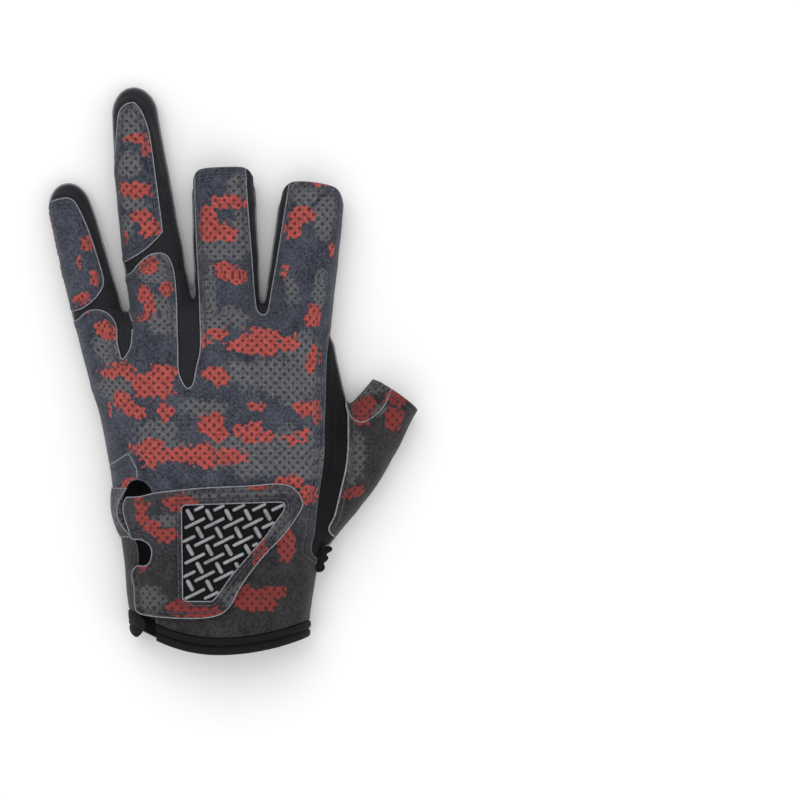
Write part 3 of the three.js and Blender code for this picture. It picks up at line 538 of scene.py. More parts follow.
# Its suede: brushed on the outside and printed, pale at its raw edges, with a dark woven lining inside.
# Its finishes are sums on strands, each one value or colour on its way through a material.
class Strand:
    def __init__(self, tree, socket=None):
        self.tree, self.socket = tree, socket

    def node(self, kind, settings, inputs, output=0):
        """A new node: its settings, then the values or strands of its sockets."""
        made = self.tree.nodes.new(kind)
        for name, value in settings.items():
            setattr(made, name, value)
        for name, value in inputs.items():
            if isinstance(value, Strand):
                self.tree.links.new(value.socket, made.inputs[name])
            else:
                made.inputs[name].default_value = value
        return Strand(self.tree, made.outputs[output])

    def maths(self, operation, *values):
        return self.node("ShaderNodeMath", {"operation": operation}, dict(enumerate(values)))

    def __add__(self, other):
        return self.maths("ADD", self, other)

    __radd__ = __add__

    def __sub__(self, other):
        return self.maths("SUBTRACT", self, other)

    def __rsub__(self, other):
        return self.maths("SUBTRACT", other, self)

    def __mul__(self, other):
        return self.maths("MULTIPLY", self, other)

    __rmul__ = __mul__

    def between(self, low, high):
        """0 below low, 1 above high, smooth between."""
        return self.node(
            "ShaderNodeMapRange", {"interpolation_type": "SMOOTHSTEP"},
            {"Value": self, "From Min": low, "From Max": high},
        )

    def tint(self, plain, other):
        """From one colour to another as this strand goes from 0 to 1."""
        return self.node(
            "ShaderNodeMix", {"data_type": "RGBA"}, {"Factor": self, 6: plain, 7: other}, output=2
        )

    def marked(self, name, output=2):
        """A value that printed() leaves on the mesh."""
        return self.node("ShaderNodeAttribute", {"attribute_name": name}, {}, output)

    def place(self):
        """The place on the glove, in metres."""
        return self.node("ShaderNodeTexCoord", {}, {}, output=3)

    def x_and_y(self):
        return [self.node("ShaderNodeSeparateXYZ", {}, {0: self}, axis) for axis in (0, 1)]

    def noise(self, grain, detail=2.0, roughness=0.5):
        """Noise over this strand's place, with its grain in the same unit."""
        return self.node(
            "ShaderNodeTexNoise", {},
            {"Vector": self, "Scale": 1 / grain, "Detail": detail, "Roughness": roughness},
        )


def srgb(*tones):
    """A colour from its tones of 0 to 255."""
    shares = [tone / 255 for tone in tones]
    return (*(v / 12.92 if v <= 0.04045 else ((v + 0.055) / 1.055) ** 2.4 for v in shares), 1.0)


def finish(name, colours, **fixed):
    """A new material. colours(strand) gives its varying sockets, fixed sets the shader's own."""
    material = bpy.data.materials.new(name)
    material.use_nodes = True
    tree = material.node_tree
    shader = tree.nodes["Principled BSDF"]
    for socket, value in fixed.items():
        shader.inputs[socket.replace("_", " ")].default_value = value
    for socket, value in colours(Strand(tree)).items():
        tree.links.new(value.socket, shader.inputs[socket])
    return material


def bumped(strand, height, strength, distance):
    inputs = {"Height": height, "Strength": strength, "Distance": distance}
    return strand.node("ShaderNodeBump", {}, inputs)


SLATE_LIGHT = srgb(77, 80, 92)
SLATE_DARK = srgb(26, 30, 40)
DUSK_LIGHT = srgb(57, 54, 54)
DUSK_DARK = srgb(20, 19, 21)
ASH = srgb(109, 108, 110)
ASH_DARK = srgb(58, 60, 66)
ASH_DUSK = srgb(70, 68, 64)
RED = srgb(177, 82, 75)
RED_DARK = srgb(104, 44, 44)
RED_DUSK = srgb(108, 40, 38)
ASH_DOT = srgb(28, 30, 36)
RED_DOT = srgb(58, 28, 31)
WORN = srgb(104, 106, 112)
DOT_PITCH = 3.74
STITCH_INSET = 2.1


def camo_suede(strand):
    """Brushed suede printed with red and ash clusters over slate, in dots that stand in staggered rows."""
    place = strand.marked("cloth", output=1)
    red, ash, hem, dusk = [strand.marked(name) for name in ("red", "ash", "hem", "dusk")]
    x, y = place.x_and_y()
    turn = 2 * math.pi / DOT_PITCH
    wave = strand.maths("COSINE", x * turn) * strand.maths("COSINE", y * turn)
    heather = place.noise(0.95, 4.0, 0.75)
    mottle = place.noise(7.0, 3.0, 0.6)
    jag = place.noise(2.6, 1.0, 0.5)
    fine = place.noise(1.5, 1.0, 0.5)
    red_zone = (red + (jag - 0.5) * 1.3 + (fine - 0.5) * 0.5 - wave * 0.12).between(-0.1, 0.1)
    ash_zone = (ash + (mottle - 0.5) * 1.5 + (jag - 0.5) * 0.9 + (fine - 0.5) * 0.6).between(-0.3, 0.25)
    dots = (wave + (fine - 0.5) * 0.5).between(0.26, 0.62)
    nap_shade = ((heather - 0.5) * 2.4 + (mottle - 0.5) * 1.0 + 0.5).between(0.0, 1.0)
    body = dusk.tint(nap_shade.tint(SLATE_DARK, SLATE_LIGHT), nap_shade.tint(DUSK_DARK, DUSK_LIGHT))
    grey = ((heather - 0.5) * 2.2 + 0.55).between(0.0, 1.0).tint(ASH_DARK, ASH)
    grey = (dusk * 0.5).tint(grey, ASH_DUSK)
    grey = (dots * 0.8).tint(grey, ASH_DOT)
    coral = ((heather - 0.5) * 2.0 + (fine - 0.5) * 0.8 + 0.6).between(0.0, 1.0).tint(RED_DARK, RED)
    coral = (dusk * 0.85).tint(coral, RED_DUSK)
    coral = (dots * 0.8).tint(coral, RED_DOT)
    cloth = (ash_zone * 0.85).tint(body, grey)
    cloth = (dots * (1 - ash_zone) * 0.22).tint(cloth, ASH_DOT)
    cloth = red_zone.tint(cloth, coral)
    worn = (1 - hem.between(0.1, 0.6)) * (0.3 + 0.4 * heather)
    cloth = worn.tint(cloth, WORN)
    groove = 1 - strand.maths("ABSOLUTE", hem - STITCH_INSET).between(0.0, 0.7)
    # Painted shade: the cloth is darkened along the stitch groove, where it sinks in, on top of the groove's
    # bump.
    cloth = (groove * 0.35).tint(cloth, SLATE_DARK)
    nap = place.noise(0.32, 3.0, 0.7)
    height = nap * 0.5 + heather * 0.35 - dots * 0.35 - groove * 1.4
    return {
        "Base Color": cloth,
        "Roughness": 0.86 + 0.1 * heather,
        "Normal": bumped(strand, height, 0.55, 0.0003),
    }


suede = finish(
    "printed_suede", camo_suede, Sheen_Weight=0.12, Sheen_Roughness=0.5, Specular_IOR_Level=0.2
)


# Painted light: the dark woven lining is given a lighter grey than its black cloth, standing in for the light
# and sheen inside the glove's openings.
def lining_cloth_painted_light(strand):
    weave = strand.place().noise(0.0006)
    return {
        "Base Color": weave.tint(srgb(44, 44, 48), srgb(74, 73, 78)),
        "Normal": bumped(strand, weave, 0.4, 0.0003),
    }


def raw_suede(strand):
    fibre = strand.place().noise(0.0005, 3.0, 0.7)
    return {
        "Base Color": fibre.between(0.25, 0.75).tint(srgb(84, 86, 92), srgb(166, 169, 175)),
        "Normal": bumped(strand, fibre, 0.5, 0.0003),
    }


lining = finish("black_lining_painted_light", lining_cloth_painted_light, Roughness=0.92, Specular_IOR_Level=0.2)
raw_edge = finish("raw_suede_edge", raw_suede, Roughness=0.9, Specular_IOR_Level=0.25)

# The print's clusters of red and of ash on the back, each as x, y, width and height.
BACK_RED = [
    (-32.8, 206.4, 8.8, 4), (-29.2, 202, 3.6, 6.4), (-33.6, 185.6, 15.2, 5.6), (-31.6, 174.8, 7.2, 4.8),
    (-27.6, 170.4, 8, 6.4), (-39.2, 167.2, 2.4, 4), (-52.4, 164.4, 5.6, 5.6), (-48.8, 151.2, 4.8, 5.6),
    (-56, 141.2, 6.8, 6.4), (-56.4, 156.8, 1.6, 4.8), (-29.2, 156, 8.8, 4.8), (-20.8, 146, 6.8, 5.6),
    (-32, 143.2, 7.2, 6.4), (-29.2, 138.4, 6.4, 5.6), (-46.4, 130, 8, 5.6), (-42.4, 128.4, 3.2, 4.8),
    (4, 180.4, 15.2, 4.8), (-5.6, 176, 8, 5.6), (-4, 169.6, 10.4, 8.8), (2.4, 168, 8, 6.4),
    (2.4, 153.6, 10.4, 6.4), (8.4, 150.8, 8.8, 4.8), (32.8, 175.2, 9.6, 6.4), (29.2, 169.6, 7.2, 7.2),
    (46.4, 161.2, 3.2, 4.8), (24.4, 152.4, 2.4, 4.8), (40, 188.4, 8.8, 1.6), (38.8, 134.8, 7.2, 8.8),
    (40, 121.6, 4, 5.6), (38, 116.4, 4.8, 7.2), (-1.2, 128, 8.8, 4.8), (-6, 125.2, 4.8, 3.2),
    (8, 123.2, 9.6, 4.8), (16.8, 126.4, 13.6, 8.8), (20, 122.4, 8, 6.4), (14, 121.6, 14.4, 3.2),
    (28.4, 124.4, 8, 6.4), (-46, 112.4, 10.4, 4), (-40, 114, 9.6, 4.8), (-36, 111.6, 4.8, 4),
    (-28, 107.6, 16, 8.8), (-22, 112, 11.2, 7.2), (-22, 104.4, 6.4, 4), (-3.2, 112, 8, 4.8),
    (0.8, 110.8, 5.6, 6.4), (-41.2, 101.2, 7.2, 7.2), (-37.2, 98.4, 8, 5.6), (-33.2, 96.8, 5.6, 4.8),
    (-21.2, 97.6, 6.4, 5.6), (-21.6, 94.4, 3.2, 4), (-48, 96.8, 2.4, 4.8), (14.8, 99.2, 5.6, 2.8),
    (35.2, 98.8, 8.8, 5.6), (40, 97.6, 4.8, 9.6), (-3.2, 92, 9.6, 8), (0, 88, 6.4, 5.6),
    (8, 89.2, 4.8, 4.8), (12, 87.2, 6.4, 5.6), (14.4, 90.4, 5.6, 4.8), (18.4, 87.2, 6.4, 4),
    (34, 88, 6.4, 3.6), (29.2, 85.6, 6.4, 3.6), (-32.8, 82, 8.8, 4), (-27.2, 82.8, 8.8, 7.2),
    (-28, 77.6, 7.2, 5.6), (-23.2, 79.6, 7.2, 4.8), (-16, 79.6, 13.6, 5.6), (-6, 80.4, 11.2, 7.2),
    (-6, 76.8, 8, 4), (4, 79.2, 13.6, 5.2), (-39.2, 68, 8.8, 5.6), (26, 69.6, 6.4, 4),
    (31.2, 68.8, 5.6, 5.6), (36.4, 63.2, 8, 7.2), (27.2, 43.6, 7.2, 12), (12, 22.4, 10.4, 8.8),
    (16.8, 20.4, 12.8, 4.8), (21.6, 24.8, 10.4, 4.8),
]
BACK_ASH = [
    (32, 121.6, 18.4, 12), (26, 110.4, 28, 14.4), (12, 111.6, 20, 9.6), (28.8, 102.4, 9.6, 7.2),
    (-5.6, 135.6, 7.2, 20), (-2, 131.6, 12, 5.6), (-22, 135.2, 12.8, 13.6), (-46, 123.2, 14.4, 10.4),
    (-43.2, 106.4, 17.6, 9.6), (-26, 88.8, 17.6, 10.4), (-24, 84.8, 16, 4.8), (-6, 98.4, 16, 7.2),
    (6, 83.6, 16, 5.6), (22, 79.2, 40, 14.4), (32, 85.6, 18.4, 10.4), (32, 73.6, 18.4, 8),
    (-36, 211.6, 9.6, 14.4), (-36.8, 195.6, 10.4, 11.2), (-34.8, 179.6, 11.2, 6.4), (-38, 171.6, 7.2, 8.8),
    (-26, 153.6, 14.4, 12.8), (8, 186.8, 9.6, 9.6), (9.2, 167.6, 7.2, 20), (-2, 161.6, 17.6, 8.8),
    (-6, 145.6, 7.2, 20), (34, 183.6, 14.4, 8.8), (42.4, 175.6, 9.6, 17.6), (28, 145.6, 6.4, 9.6),
    (42, 145.6, 7.2, 13.6), (6, 135.6, 12, 6.4),
]


def cluster_field(points, clusters):
    """1 in the middle of a cluster, 0 at its edge and less outside."""
    field = np.full(len(points), -1.5)
    for x, y, width, height in clusters:
        away = np.hypot((points[:, 0] - x) / (width * 0.54), (points[:, 1] - y) / (height * 0.56))
        field = np.maximum(field, (1 - away) * min(1.0, height / 6))
    return field


def crown(points):
    """The height of the glove's crown over each point in plan."""
    high = np.full(len(points), 12.0)
    for limb in all_limbs:
        off = points[:, :2] - limb.root
        along, sideways = off @ limb.ahead / limb.length, off @ limb.aside
        over = np.abs(sideways - limb.shift(along)) < limb.half_width(along) + 1.5
        over &= (along > -0.1) & (along < 1.1)
        high = np.where(over, np.maximum(high, limb.height(along)), high)
    return high


def tree_of(mesh):
    return BVHTree.FromPolygons([v.co for v in mesh.vertices], [p.vertices for p in mesh.polygons])


suede_tree = tree_of(suede_skin)


def printed(mesh, red, ash, border, dusk=0.0, red_below=(), ash_below=()):
    """Marks each point of a sewn piece for the suede: its place on the flat cloth, the print above and
    below the side seam, how far the hem is, and how far the ground turns from slate to brown-grey."""
    points = points_of(mesh)
    normals = np.array([suede_tree.find_nearest(v.co)[1][:] for v in mesh.vertices])
    fall = np.where(points[:, 2] > SEAM_HEIGHT, crown(points) - points[:, 2], points[:, 2])
    flat = points[:, :2] + normals[:, :2] * 0.6 * np.maximum(fall, 0)[:, None]
    over = points[:, 2] > SEAM_HEIGHT
    for name, values in (
        ("red", np.where(over, cluster_field(flat, red), cluster_field(flat, red_below))),
        ("ash", np.where(over, cluster_field(flat, ash), cluster_field(flat, ash_below))),
        ("hem", border.distance(points)),
        ("dusk", np.maximum(dusk, 1 - step_up(30, 72, flat[:, 1])) * (0.3 + 0.7 * over)),
    ):
        mesh.attributes.new(name, "FLOAT", "POINT").data.foreach_set("value", values.astype(np.float32))
    cloth = np.column_stack([flat, points[:, 2] * 0.2]).astype(np.float32)
    mesh.attributes.new("cloth", "FLOAT_VECTOR", "POINT").data.foreach_set("vector", cloth.ravel())


def tip_edge(limb):
    return [limb.place(1, a, -tip_drop(limb, a)) for a in np.linspace(-1.2, 1.2, 41)]


def without_crumbs(mesh, least=60):
    """The mesh without the small scraps that cutting leaves."""
    drawn = bmesh.new()
    drawn.from_mesh(mesh)
    seen, scraps = set(), []
    for start in drawn.verts:
        if start in seen:
            continue
        body, front = [start], [start]
        seen.add(start)
        while front:
            for edge in front.pop().link_edges:
                for point in edge.verts:
                    if point not in seen:
                        seen.add(point)
                        body.append(point)
                        front.append(point)
        if len(body) < least:
            scraps += body
    bmesh.ops.delete(drawn, geom=scraps, context="VERTS")
    drawn.to_mesh(mesh)
    drawn.free()


def piece(name, mesh, node, cloth=None, sharp=40):
    """A sewn piece that stands for its solid and moves with the glove."""
    without_crumbs(mesh)
    while len(mesh.materials) < 3:
        mesh.materials.append(None)
    for slot_number, material in enumerate((cloth or suede, lining, cloth or raw_edge)):
        mesh.materials[slot_number] = material
    mesh.shade_smooth()
    mesh.set_sharp_from_angle(angle=math.radians(sharp))
    made = bpy.data.objects.new(name, mesh)
    bpy.context.scene.collection.objects.link(made)
    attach(made, "root")
    if node:
        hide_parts(node)


def sewn(shell, outline, half, *without):
    mesh = cut(shell, "INTERSECT", prism(grown(outline, -SEAM_GAP / 2), *half))
    for other in without:
        mesh = cut(mesh, "DIFFERENCE", prism(grown(other, SEAM_GAP / 2), DEEP, TALL))
    return mesh


# Palm panel: one piece of printed suede from the cuff to all five fingers, cut out for the thumb. Its
# raw edge shows pale round the thumb, and a row of lockstitch runs two millimetres inside it. Small
# three-cornered pads of black rubber are pressed on where it grips.
PALM_RED = [
    (-64.8, 176.4, 15.2, 6.4), (-56.8, 172.8, 8.8, 4.8), (-68, 171.2, 4.8, 4), (-59.6, 154.4, 8.8, 8.8),
    (-57.2, 158.4, 4, 5.6), (-60, 148, 7.2, 5.6), (-56.4, 132.4, 2.4, 4), (-41.6, 212.4, 7.2, 5.6),
    (-38.4, 220.8, 2.4, 2.4), (-30.8, 200.8, 7.2, 6.4), (-35.6, 194.8, 9.6, 8), (-28, 194.4, 8, 5.6),
    (-39.2, 189.6, 4.8, 4), (-20.8, 170.8, 5.6, 7.2), (-24.8, 167.6, 3.6, 3.6), (-16, 155.6, 4, 8),
    (-26.8, 146.4, 5.6, 5.6), (-20.8, 146, 4.8, 4.8), (-24.4, 141.6, 4.8, 5.6), (-23.6, 137.2, 6.4, 3.6),
    (-21.6, 129.6, 14.4, 4.4), (-12.8, 129.6, 9.6, 7.2), (-13.6, 124, 6.4, 4.8), (5.2, 167.2, 9.6, 3.6),
    (10.4, 169.6, 7.2, 4.4), (4, 142, 11.2, 3.6), (6.4, 138.8, 7.2, 5.6), (35.2, 169.6, 5.2, 8.8),
    (38.4, 167.2, 6.4, 4.8), (53.2, 158.4, 4, 5.2), (30, 143.2, 6.4, 7.2), (36, 139.2, 8.8, 5.6),
    (45.2, 127.6, 11.2, 4), (23.2, 130.4, 5.6, 4.8), (24, 124, 16, 4.8), (29.2, 126.8, 7.2, 7.2),
    (31.6, 121.2, 8.8, 5.2), (24, 118, 4.8, 5.6), (51.2, 104, 3.2, 5.2), (-36.8, 118.8, 6, 7.2),
    (-32.8, 115.2, 5.6, 5.6), (-29.2, 112, 3.6, 3.2), (0, 115.2, 8, 10.4), (-4, 108, 7.2, 5.6),
    (4.8, 112, 4.4, 6.4), (-45.6, 105.6, 5.2, 4.8), (-26.8, 105.2, 6.4, 4.8), (-30.8, 102.8, 13.6, 4.4),
    (-21.6, 101.2, 10.4, 4.8), (-36.8, 100.8, 4.8, 4), (-14.8, 98.4, 3.6, 3.6), (-36, 96.8, 6, 4),
    (13.2, 102.8, 11.2, 4.4), (20, 100, 8, 4), (26.8, 97.2, 5.2, 4), (-12, 87.6, 11.2, 3.6),
    (-5.6, 90.8, 6, 5.2), (19.2, 88, 10.4, 5.2), (14, 89.6, 4.8, 4), (-32.8, 81.6, 9.6, 7.2),
    (-38.8, 80.8, 7.2, 4), (-31.2, 75.6, 4.8, 4.4), (-26.4, 78.8, 4.8, 4.8), (-21.6, 76, 5.6, 4),
    (-38.8, 70.4, 4.8, 3.2), (0.4, 83.6, 6, 6.4), (6.4, 84.8, 6.4, 3.6), (1.6, 77.2, 6.4, 5.6),
    (-22.8, 61.2, 10.4, 5.6), (-16.8, 64.4, 5.6, 5.2), (-10.8, 59.6, 13.6, 4), (-0.8, 58, 13.6, 5.2),
    (-28.8, 58.8, 3.6, 3.6), (-14, 37.6, 13.6, 4.8), (-6.4, 39.2, 6, 5.2), (10.4, 36.4, 14.4, 4.4),
    (16.8, 34.4, 8, 4.8), (-8.8, 24.8, 10.8, 4), (-21.6, 18.8, 6.4, 5.6), (-25.6, 23.6, 3.6, 2.4),
    (5.2, 16.4, 12.8, 3.6), (11.2, 13.6, 6.4, 4.4), (31.2, 15.6, 9.6, 4), (35.2, 89.6, 4, 8),
    (42.4, 95.2, 5.6, 7.2),
]
PALM_ASH = [
    (-63.2, 161.6, 10.4, 6.4), (-48.8, 161.6, 5.6, 12), (-30.8, 186.4, 14.4, 6.4),
    (-22.8, 153.6, 13.6, 17.6), (-16.8, 137.6, 16, 8), (5.2, 172.8, 10.4, 4.8), (5.2, 156.8, 10.4, 12),
    (-0.8, 129.6, 24, 11.2), (39.2, 158.4, 17.6, 10.4), (47.2, 145.6, 8, 9.6), (44, 120.8, 17.6, 10.4),
    (-24.8, 109.6, 20, 6.4), (-42.8, 100.8, 12, 8.8), (15.2, 114.4, 20, 12), (-0.8, 101.6, 24, 8),
    (15.2, 93.6, 20, 4.8), (-36.8, 88.8, 20, 6.4), (-16.8, 81.6, 16, 8), (-0.8, 69.6, 24, 9.6),
    (-24.8, 70.4, 20, 6.4), (-16.8, 52, 24, 8), (15.2, 61.6, 9.6, 24), (11.2, 43.6, 24, 10.4),
    (-10.8, 44.8, 16, 5.6), (-2.8, 29.6, 28, 5.6), (-16.8, 11.6, 24, 6.4), (19.2, 11.6, 20, 6.4),
]
# where the grip pads lie: x, y, width, height
GRIP = [
    (-6, 62, 44, 88), (-10, 112, 44, 60), (-22, 150, 18, 36), (6, 156, 16, 34), (-50, 140, 20, 40),
    (-30, 92, 34, 46),
]
PAD_SIZE = 0.85
PAD_RAISED = 0.25
EDGE_RADIUS = 0.23
STITCH_LENGTH = 2.0
STITCH_PITCH = 2.8
STITCH_RADIUS = 0.21
FAR_BELOW = -30.0
FAR_ABOVE = 80.0


def thread_colours(strand):
    ply = strand.place().noise(0.0004)
    return {
        "Base Color": ply.tint(srgb(46, 46, 52), srgb(92, 93, 100)),
        "Roughness": 0.55 + 0.2 * ply,
    }


thread = finish("polyester_thread", thread_colours, Specular_IOR_Level=0.4)


def on_cloth(x, y):
    """Whether a point in plan is above the cuff binding and short of the cut fingertips."""
    along = y / HAND_LENGTH
    across = (x - float(hand.shift(along))) / float(hand.half_width(along))
    if y < cuff_sag(max(-1.1, min(across, 1.1))) + BINDING_WIDTH + 0.3:
        return False
    for limb in cut_fingers:
        off = np.array([x, y]) - limb.root
        forward, sideways = off @ limb.ahead, off @ limb.aside
        across = sideways / float(limb.half_width(1.0))
        if abs(across) < 1.25 and forward > limb.length - tip_drop(limb, across) - 0.2:
            return False
    return True


def laid(line, tree, lift, below=False):
    """Where a line drawn in plan lies on the cloth, as runs of points."""
    runs, run = [], []
    start, way = (FAR_BELOW, Vector((0, 0, 1))) if below else (FAR_ABOVE, Vector((0, 0, -1)))
    for x, y in line:
        hit, normal, *_ = tree.ray_cast(Vector(placed([[x, y, start]])[0]), way)
        if hit is None or not on_cloth(x, y):
            runs.append(run)
            run = []
            continue
        point = on_glove(hit) + np.array(normal) * lift
        if run and np.linalg.norm(point - run[-1]) > 3.0:
            runs.append(run)
            run = []
        run.append(point)
    return [np.array(run) for run in [*runs, run] if len(run) > 2]


def rod(path, radius, sides):
    """A bar along a path, with rounded ends."""
    path = np.asarray(path, float)
    tangent = np.gradient(path, axis=0)
    tangent /= np.maximum(np.linalg.norm(tangent, axis=1), 1e-9)[:, None]
    side = np.cross(tangent, [0.0, 0.0, 1.0])
    side /= np.maximum(np.linalg.norm(side, axis=1), 1e-9)[:, None]
    up = np.cross(side, tangent)
    last = len(path) - 1
    stops = [(0, -0.95, 0.3), (0, -0.6, 0.8)] + [(i, 0.0, 1.0) for i in range(len(path))]
    stops += [(last, 0.6, 0.8), (last, 0.95, 0.3)]
    angle = np.linspace(0, 2 * math.pi, sides, endpoint=False)
    return loft([
        path[i] + tangent[i] * radius * past_end
        + (np.outer(np.cos(angle), side[i]) + np.outer(np.sin(angle), up[i])) * radius * share
        for i, past_end, share in stops
    ])


def trim_piece(name, parts, material):
    """Many small parts of one kind as one piece."""
    mesh = mesh_of(name, *joined(parts))
    mesh.materials.append(material)
    mesh.shade_smooth()
    made = bpy.data.objects.new(name, mesh)
    bpy.context.scene.collection.objects.link(made)
    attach(made, "root")


def edged(name, lines, tree=None, below=False, radius=EDGE_RADIUS):
    """The pale raw edge of the suede along lines."""
    parts = [
        rod(run, radius, 5) for line in lines
        for run in laid(spaced(line, 0.7), tree or suede_tree, radius * 0.15, below)
    ]
    trim_piece(name, parts, raw_edge)


def stitched(name, lines, tree=None, below=False):
    """Stitches along lines."""
    parts = []
    for line in lines:
        for run in laid(spaced(line, 0.4), tree or suede_tree, 0.05, below):
            length = np.concatenate([[0], np.cumsum(np.linalg.norm(np.diff(run, axis=0), axis=1))])
            for start in np.arange(0.4, length[-1] - STITCH_LENGTH, STITCH_PITCH):
                at = np.linspace(start, start + STITCH_LENGTH, 4)
                path = np.column_stack([np.interp(at, length, run[:, k]) for k in range(3)])
                parts.append(rod(path, STITCH_RADIUS, 5))
    trim_piece(name, parts, thread)


def inside_of(outline, inset, seams):
    """The line an inset inside an outline, left out where a corner is too tight for it."""
    line = spaced(grown(spaced(outline, 0.8, closed=True)[:-1], -inset), 0.4, closed=True)
    cuts = np.flatnonzero(np.abs(seams.distance(line) - inset) >= 0.35)
    return [run for run in np.split(line, cuts) if len(run) > 6]


tips = [tip_edge(limb) for limb in cut_fingers]
palm_border = Nearest(palm_arc, palm_keyhole, cuff_line(BINDING_WIDTH), *tips)
palm = sewn(suede_shell, palm_outline, PALM_HALF)
printed(palm, [], [], palm_border, 0.0, PALM_RED, PALM_ASH)
piece("palm_suede_panel", palm, "palm_panel")
edged("palm_raw_edge", [palm_arc, palm_keyhole], below=True)
stitched(
    "palm_stitches", inside_of(palm_outline, STITCH_INSET, Nearest(palm_arc, palm_keyhole)),
    below=True,
)


def moulded(strand, dark, light, gloss):
    """Moulded rubber: fine grained, and a little smeared with use."""
    place = strand.place()
    grain = place.noise(0.0004, 3.0, 0.6)
    smear = place.noise(0.006, 2.0)
    return {
        "Base Color": (grain * 0.5 + smear * 0.5).between(0.25, 0.75).tint(dark, light),
        "Roughness": gloss + 0.18 * smear,
        "Normal": bumped(strand, grain, 0.25, 0.0002),
    }


def inside(outline, points):
    """Which points in plan an outline holds."""
    x, y = points[:, 0], points[:, 1]
    hits = np.zeros(len(points), int)
    p = np.array(outline)
    for (ax, ay), (bx, by) in zip(p, np.roll(p, -1, 0)):
        crosses = (ay > y) != (by > y)
        with np.errstate(divide="ignore", invalid="ignore"):
            hits += crosses & (x < (bx - ax) * (y - ay) / (by - ay) + ax)
    return hits % 2 == 1


def grip_pads():
    """Three-cornered pads on the print's dots, thinned out towards the edges of the gripping zones."""
    spin = np.random.default_rng(21)
    half = DOT_PITCH / 2
    dots = np.array([
        (i * half, j * half) for i in range(-44, 24) for j in range(2, 110) if (i + j) % 2 == 0
    ])
    field = cluster_field(dots, GRIP) + spin.uniform(-0.12, 0.12, len(dots))
    clear = palm_border.distance(dots) > 3.5
    parts = []
    for x, y in dots[(field > 0.1) & clear & inside(palm_outline, dots)]:
        start = Vector(placed([[x, y, FAR_BELOW]])[0])
        hit, normal, *_ = suede_tree.ray_cast(start, Vector((0, 0, 1)))
        if hit is None or normal.z > -0.5:
            continue
        seat = on_glove(hit)
        down = np.array(normal)
        side = np.cross(down, [0.0, 1.0, 0.0])
        ahead = np.cross(side, down)
        turn = math.pi / 2 + spin.choice([0.0, math.pi / 3]) + spin.uniform(-0.15, 0.15)
        corners = turn + np.array([-0.35, 0.35, 1.744, 2.444, 3.839, 4.539])
        ring = np.outer(np.cos(corners), side) + np.outer(np.sin(corners), ahead)
        parts.append(loft([
            seat + ring * PAD_SIZE * share + down * lift
            for share, lift in ((1.0, -0.15), (1.0, PAD_RAISED * 0.6), (0.72, PAD_RAISED))
        ]))
    return parts


grip_rubber = finish(
    "grip_rubber", lambda strand: moulded(strand, srgb(8, 9, 11), srgb(26, 28, 31), 0.45),
    Specular_IOR_Level=0.3,
)
trim_piece("palm_grip_pads", grip_pads(), grip_rubber)

# Back panel: the same suede over the back of the hand, with tongues up ring and little finger and the
# whole backs of middle and index. The vent beside the strap is left open to the cuff.
TIP_ROWS = (2.2, 3.6)
SECOND_ROW = 3.6
vent_prism = prism(np.array(vent), *BACK_HALF)
back = cut(sewn(suede_shell, back_outline, BACK_HALF), "DIFFERENCE", vent_prism)
back_border = Nearest(
    wrap_seam, little_tongue, little_web, ring_tongue, index_gap, thumb_side_seam, vent, *tips,
)
printed(back, BACK_RED, BACK_ASH, back_border)
piece("back_suede_panel", back, "back_panel")
edged("back_raw_edge", [little_tongue, little_web, ring_tongue, index_gap])
back_lines = [
    row[row[:, 1] > 6] for row in inside_of(back_outline, STITCH_INSET, back_border)
    if np.hypot(*(row.mean(0) - hand.place(0.3, -0.75))) > 30
]


def tip_row(limb, down):
    """A row of stitching so far down from the cut end of a finger."""
    return [limb.place(1, a, -tip_drop(limb, a) - down) for a in np.linspace(-0.85, 0.85, 20)]


tip_rows = [tip_row(limb, down) for limb in (middle, index) for down in TIP_ROWS]
second_row = [np.array(thumb_side_seam)[2:-2] - np.array([SECOND_ROW, 0])]
stitched("back_stitches", back_lines + tip_rows + second_row)

# Wrist wrap: the strip of suede that comes round the little-finger side of the wrist. It is sewn down
# beside the vent, and its upper end stays free, raw and pale.
WRAP_FREE = 70.5
wrap = cut(sewn(suede_shell, wrap_outline, BACK_HALF), "DIFFERENCE", vent_prism)
printed(wrap, BACK_RED, BACK_ASH, Nearest(wrap_seam, vent))
piece("wrist_suede_wrap", wrap, "wrist_wrap")
wrap_edge = [point for point in spaced(wrap_seam, 0.5) if point[1] > WRAP_FREE]
edged("wrap_raw_edge", [wrap_edge])
wrap_rows = [
    row[row[:, 1] > WRAP_FREE + 0.5]
    for row in inside_of(wrap_outline, STITCH_INSET, Nearest(wrap_seam, vent))
]
stitched("wrap_stitches", [row for row in wrap_rows if len(row) > 6])

# Patches on the two whole fingers, of the same suede. They are laid over the black knit and sewn down
# inside their raw edges.
for name, node, outline in (
    ("ring_suede_patch", "ring_patch", ring_patch_outline),
    ("little_suede_patch", "little_patch", little_patch_outline),
):
    patch = sewn(suede_shell, outline, BACK_HALF)
    printed(patch, BACK_RED, [] if node == "little_patch" else BACK_ASH, Nearest(outline))
    piece(name, patch, node)
    edged(name + "_raw_edge", [outline + outline[:1]])
    rows = inside_of(outline, STITCH_INSET - 0.3, Nearest(outline + outline[:1]))
    stitched(name + "_stitches", rows)

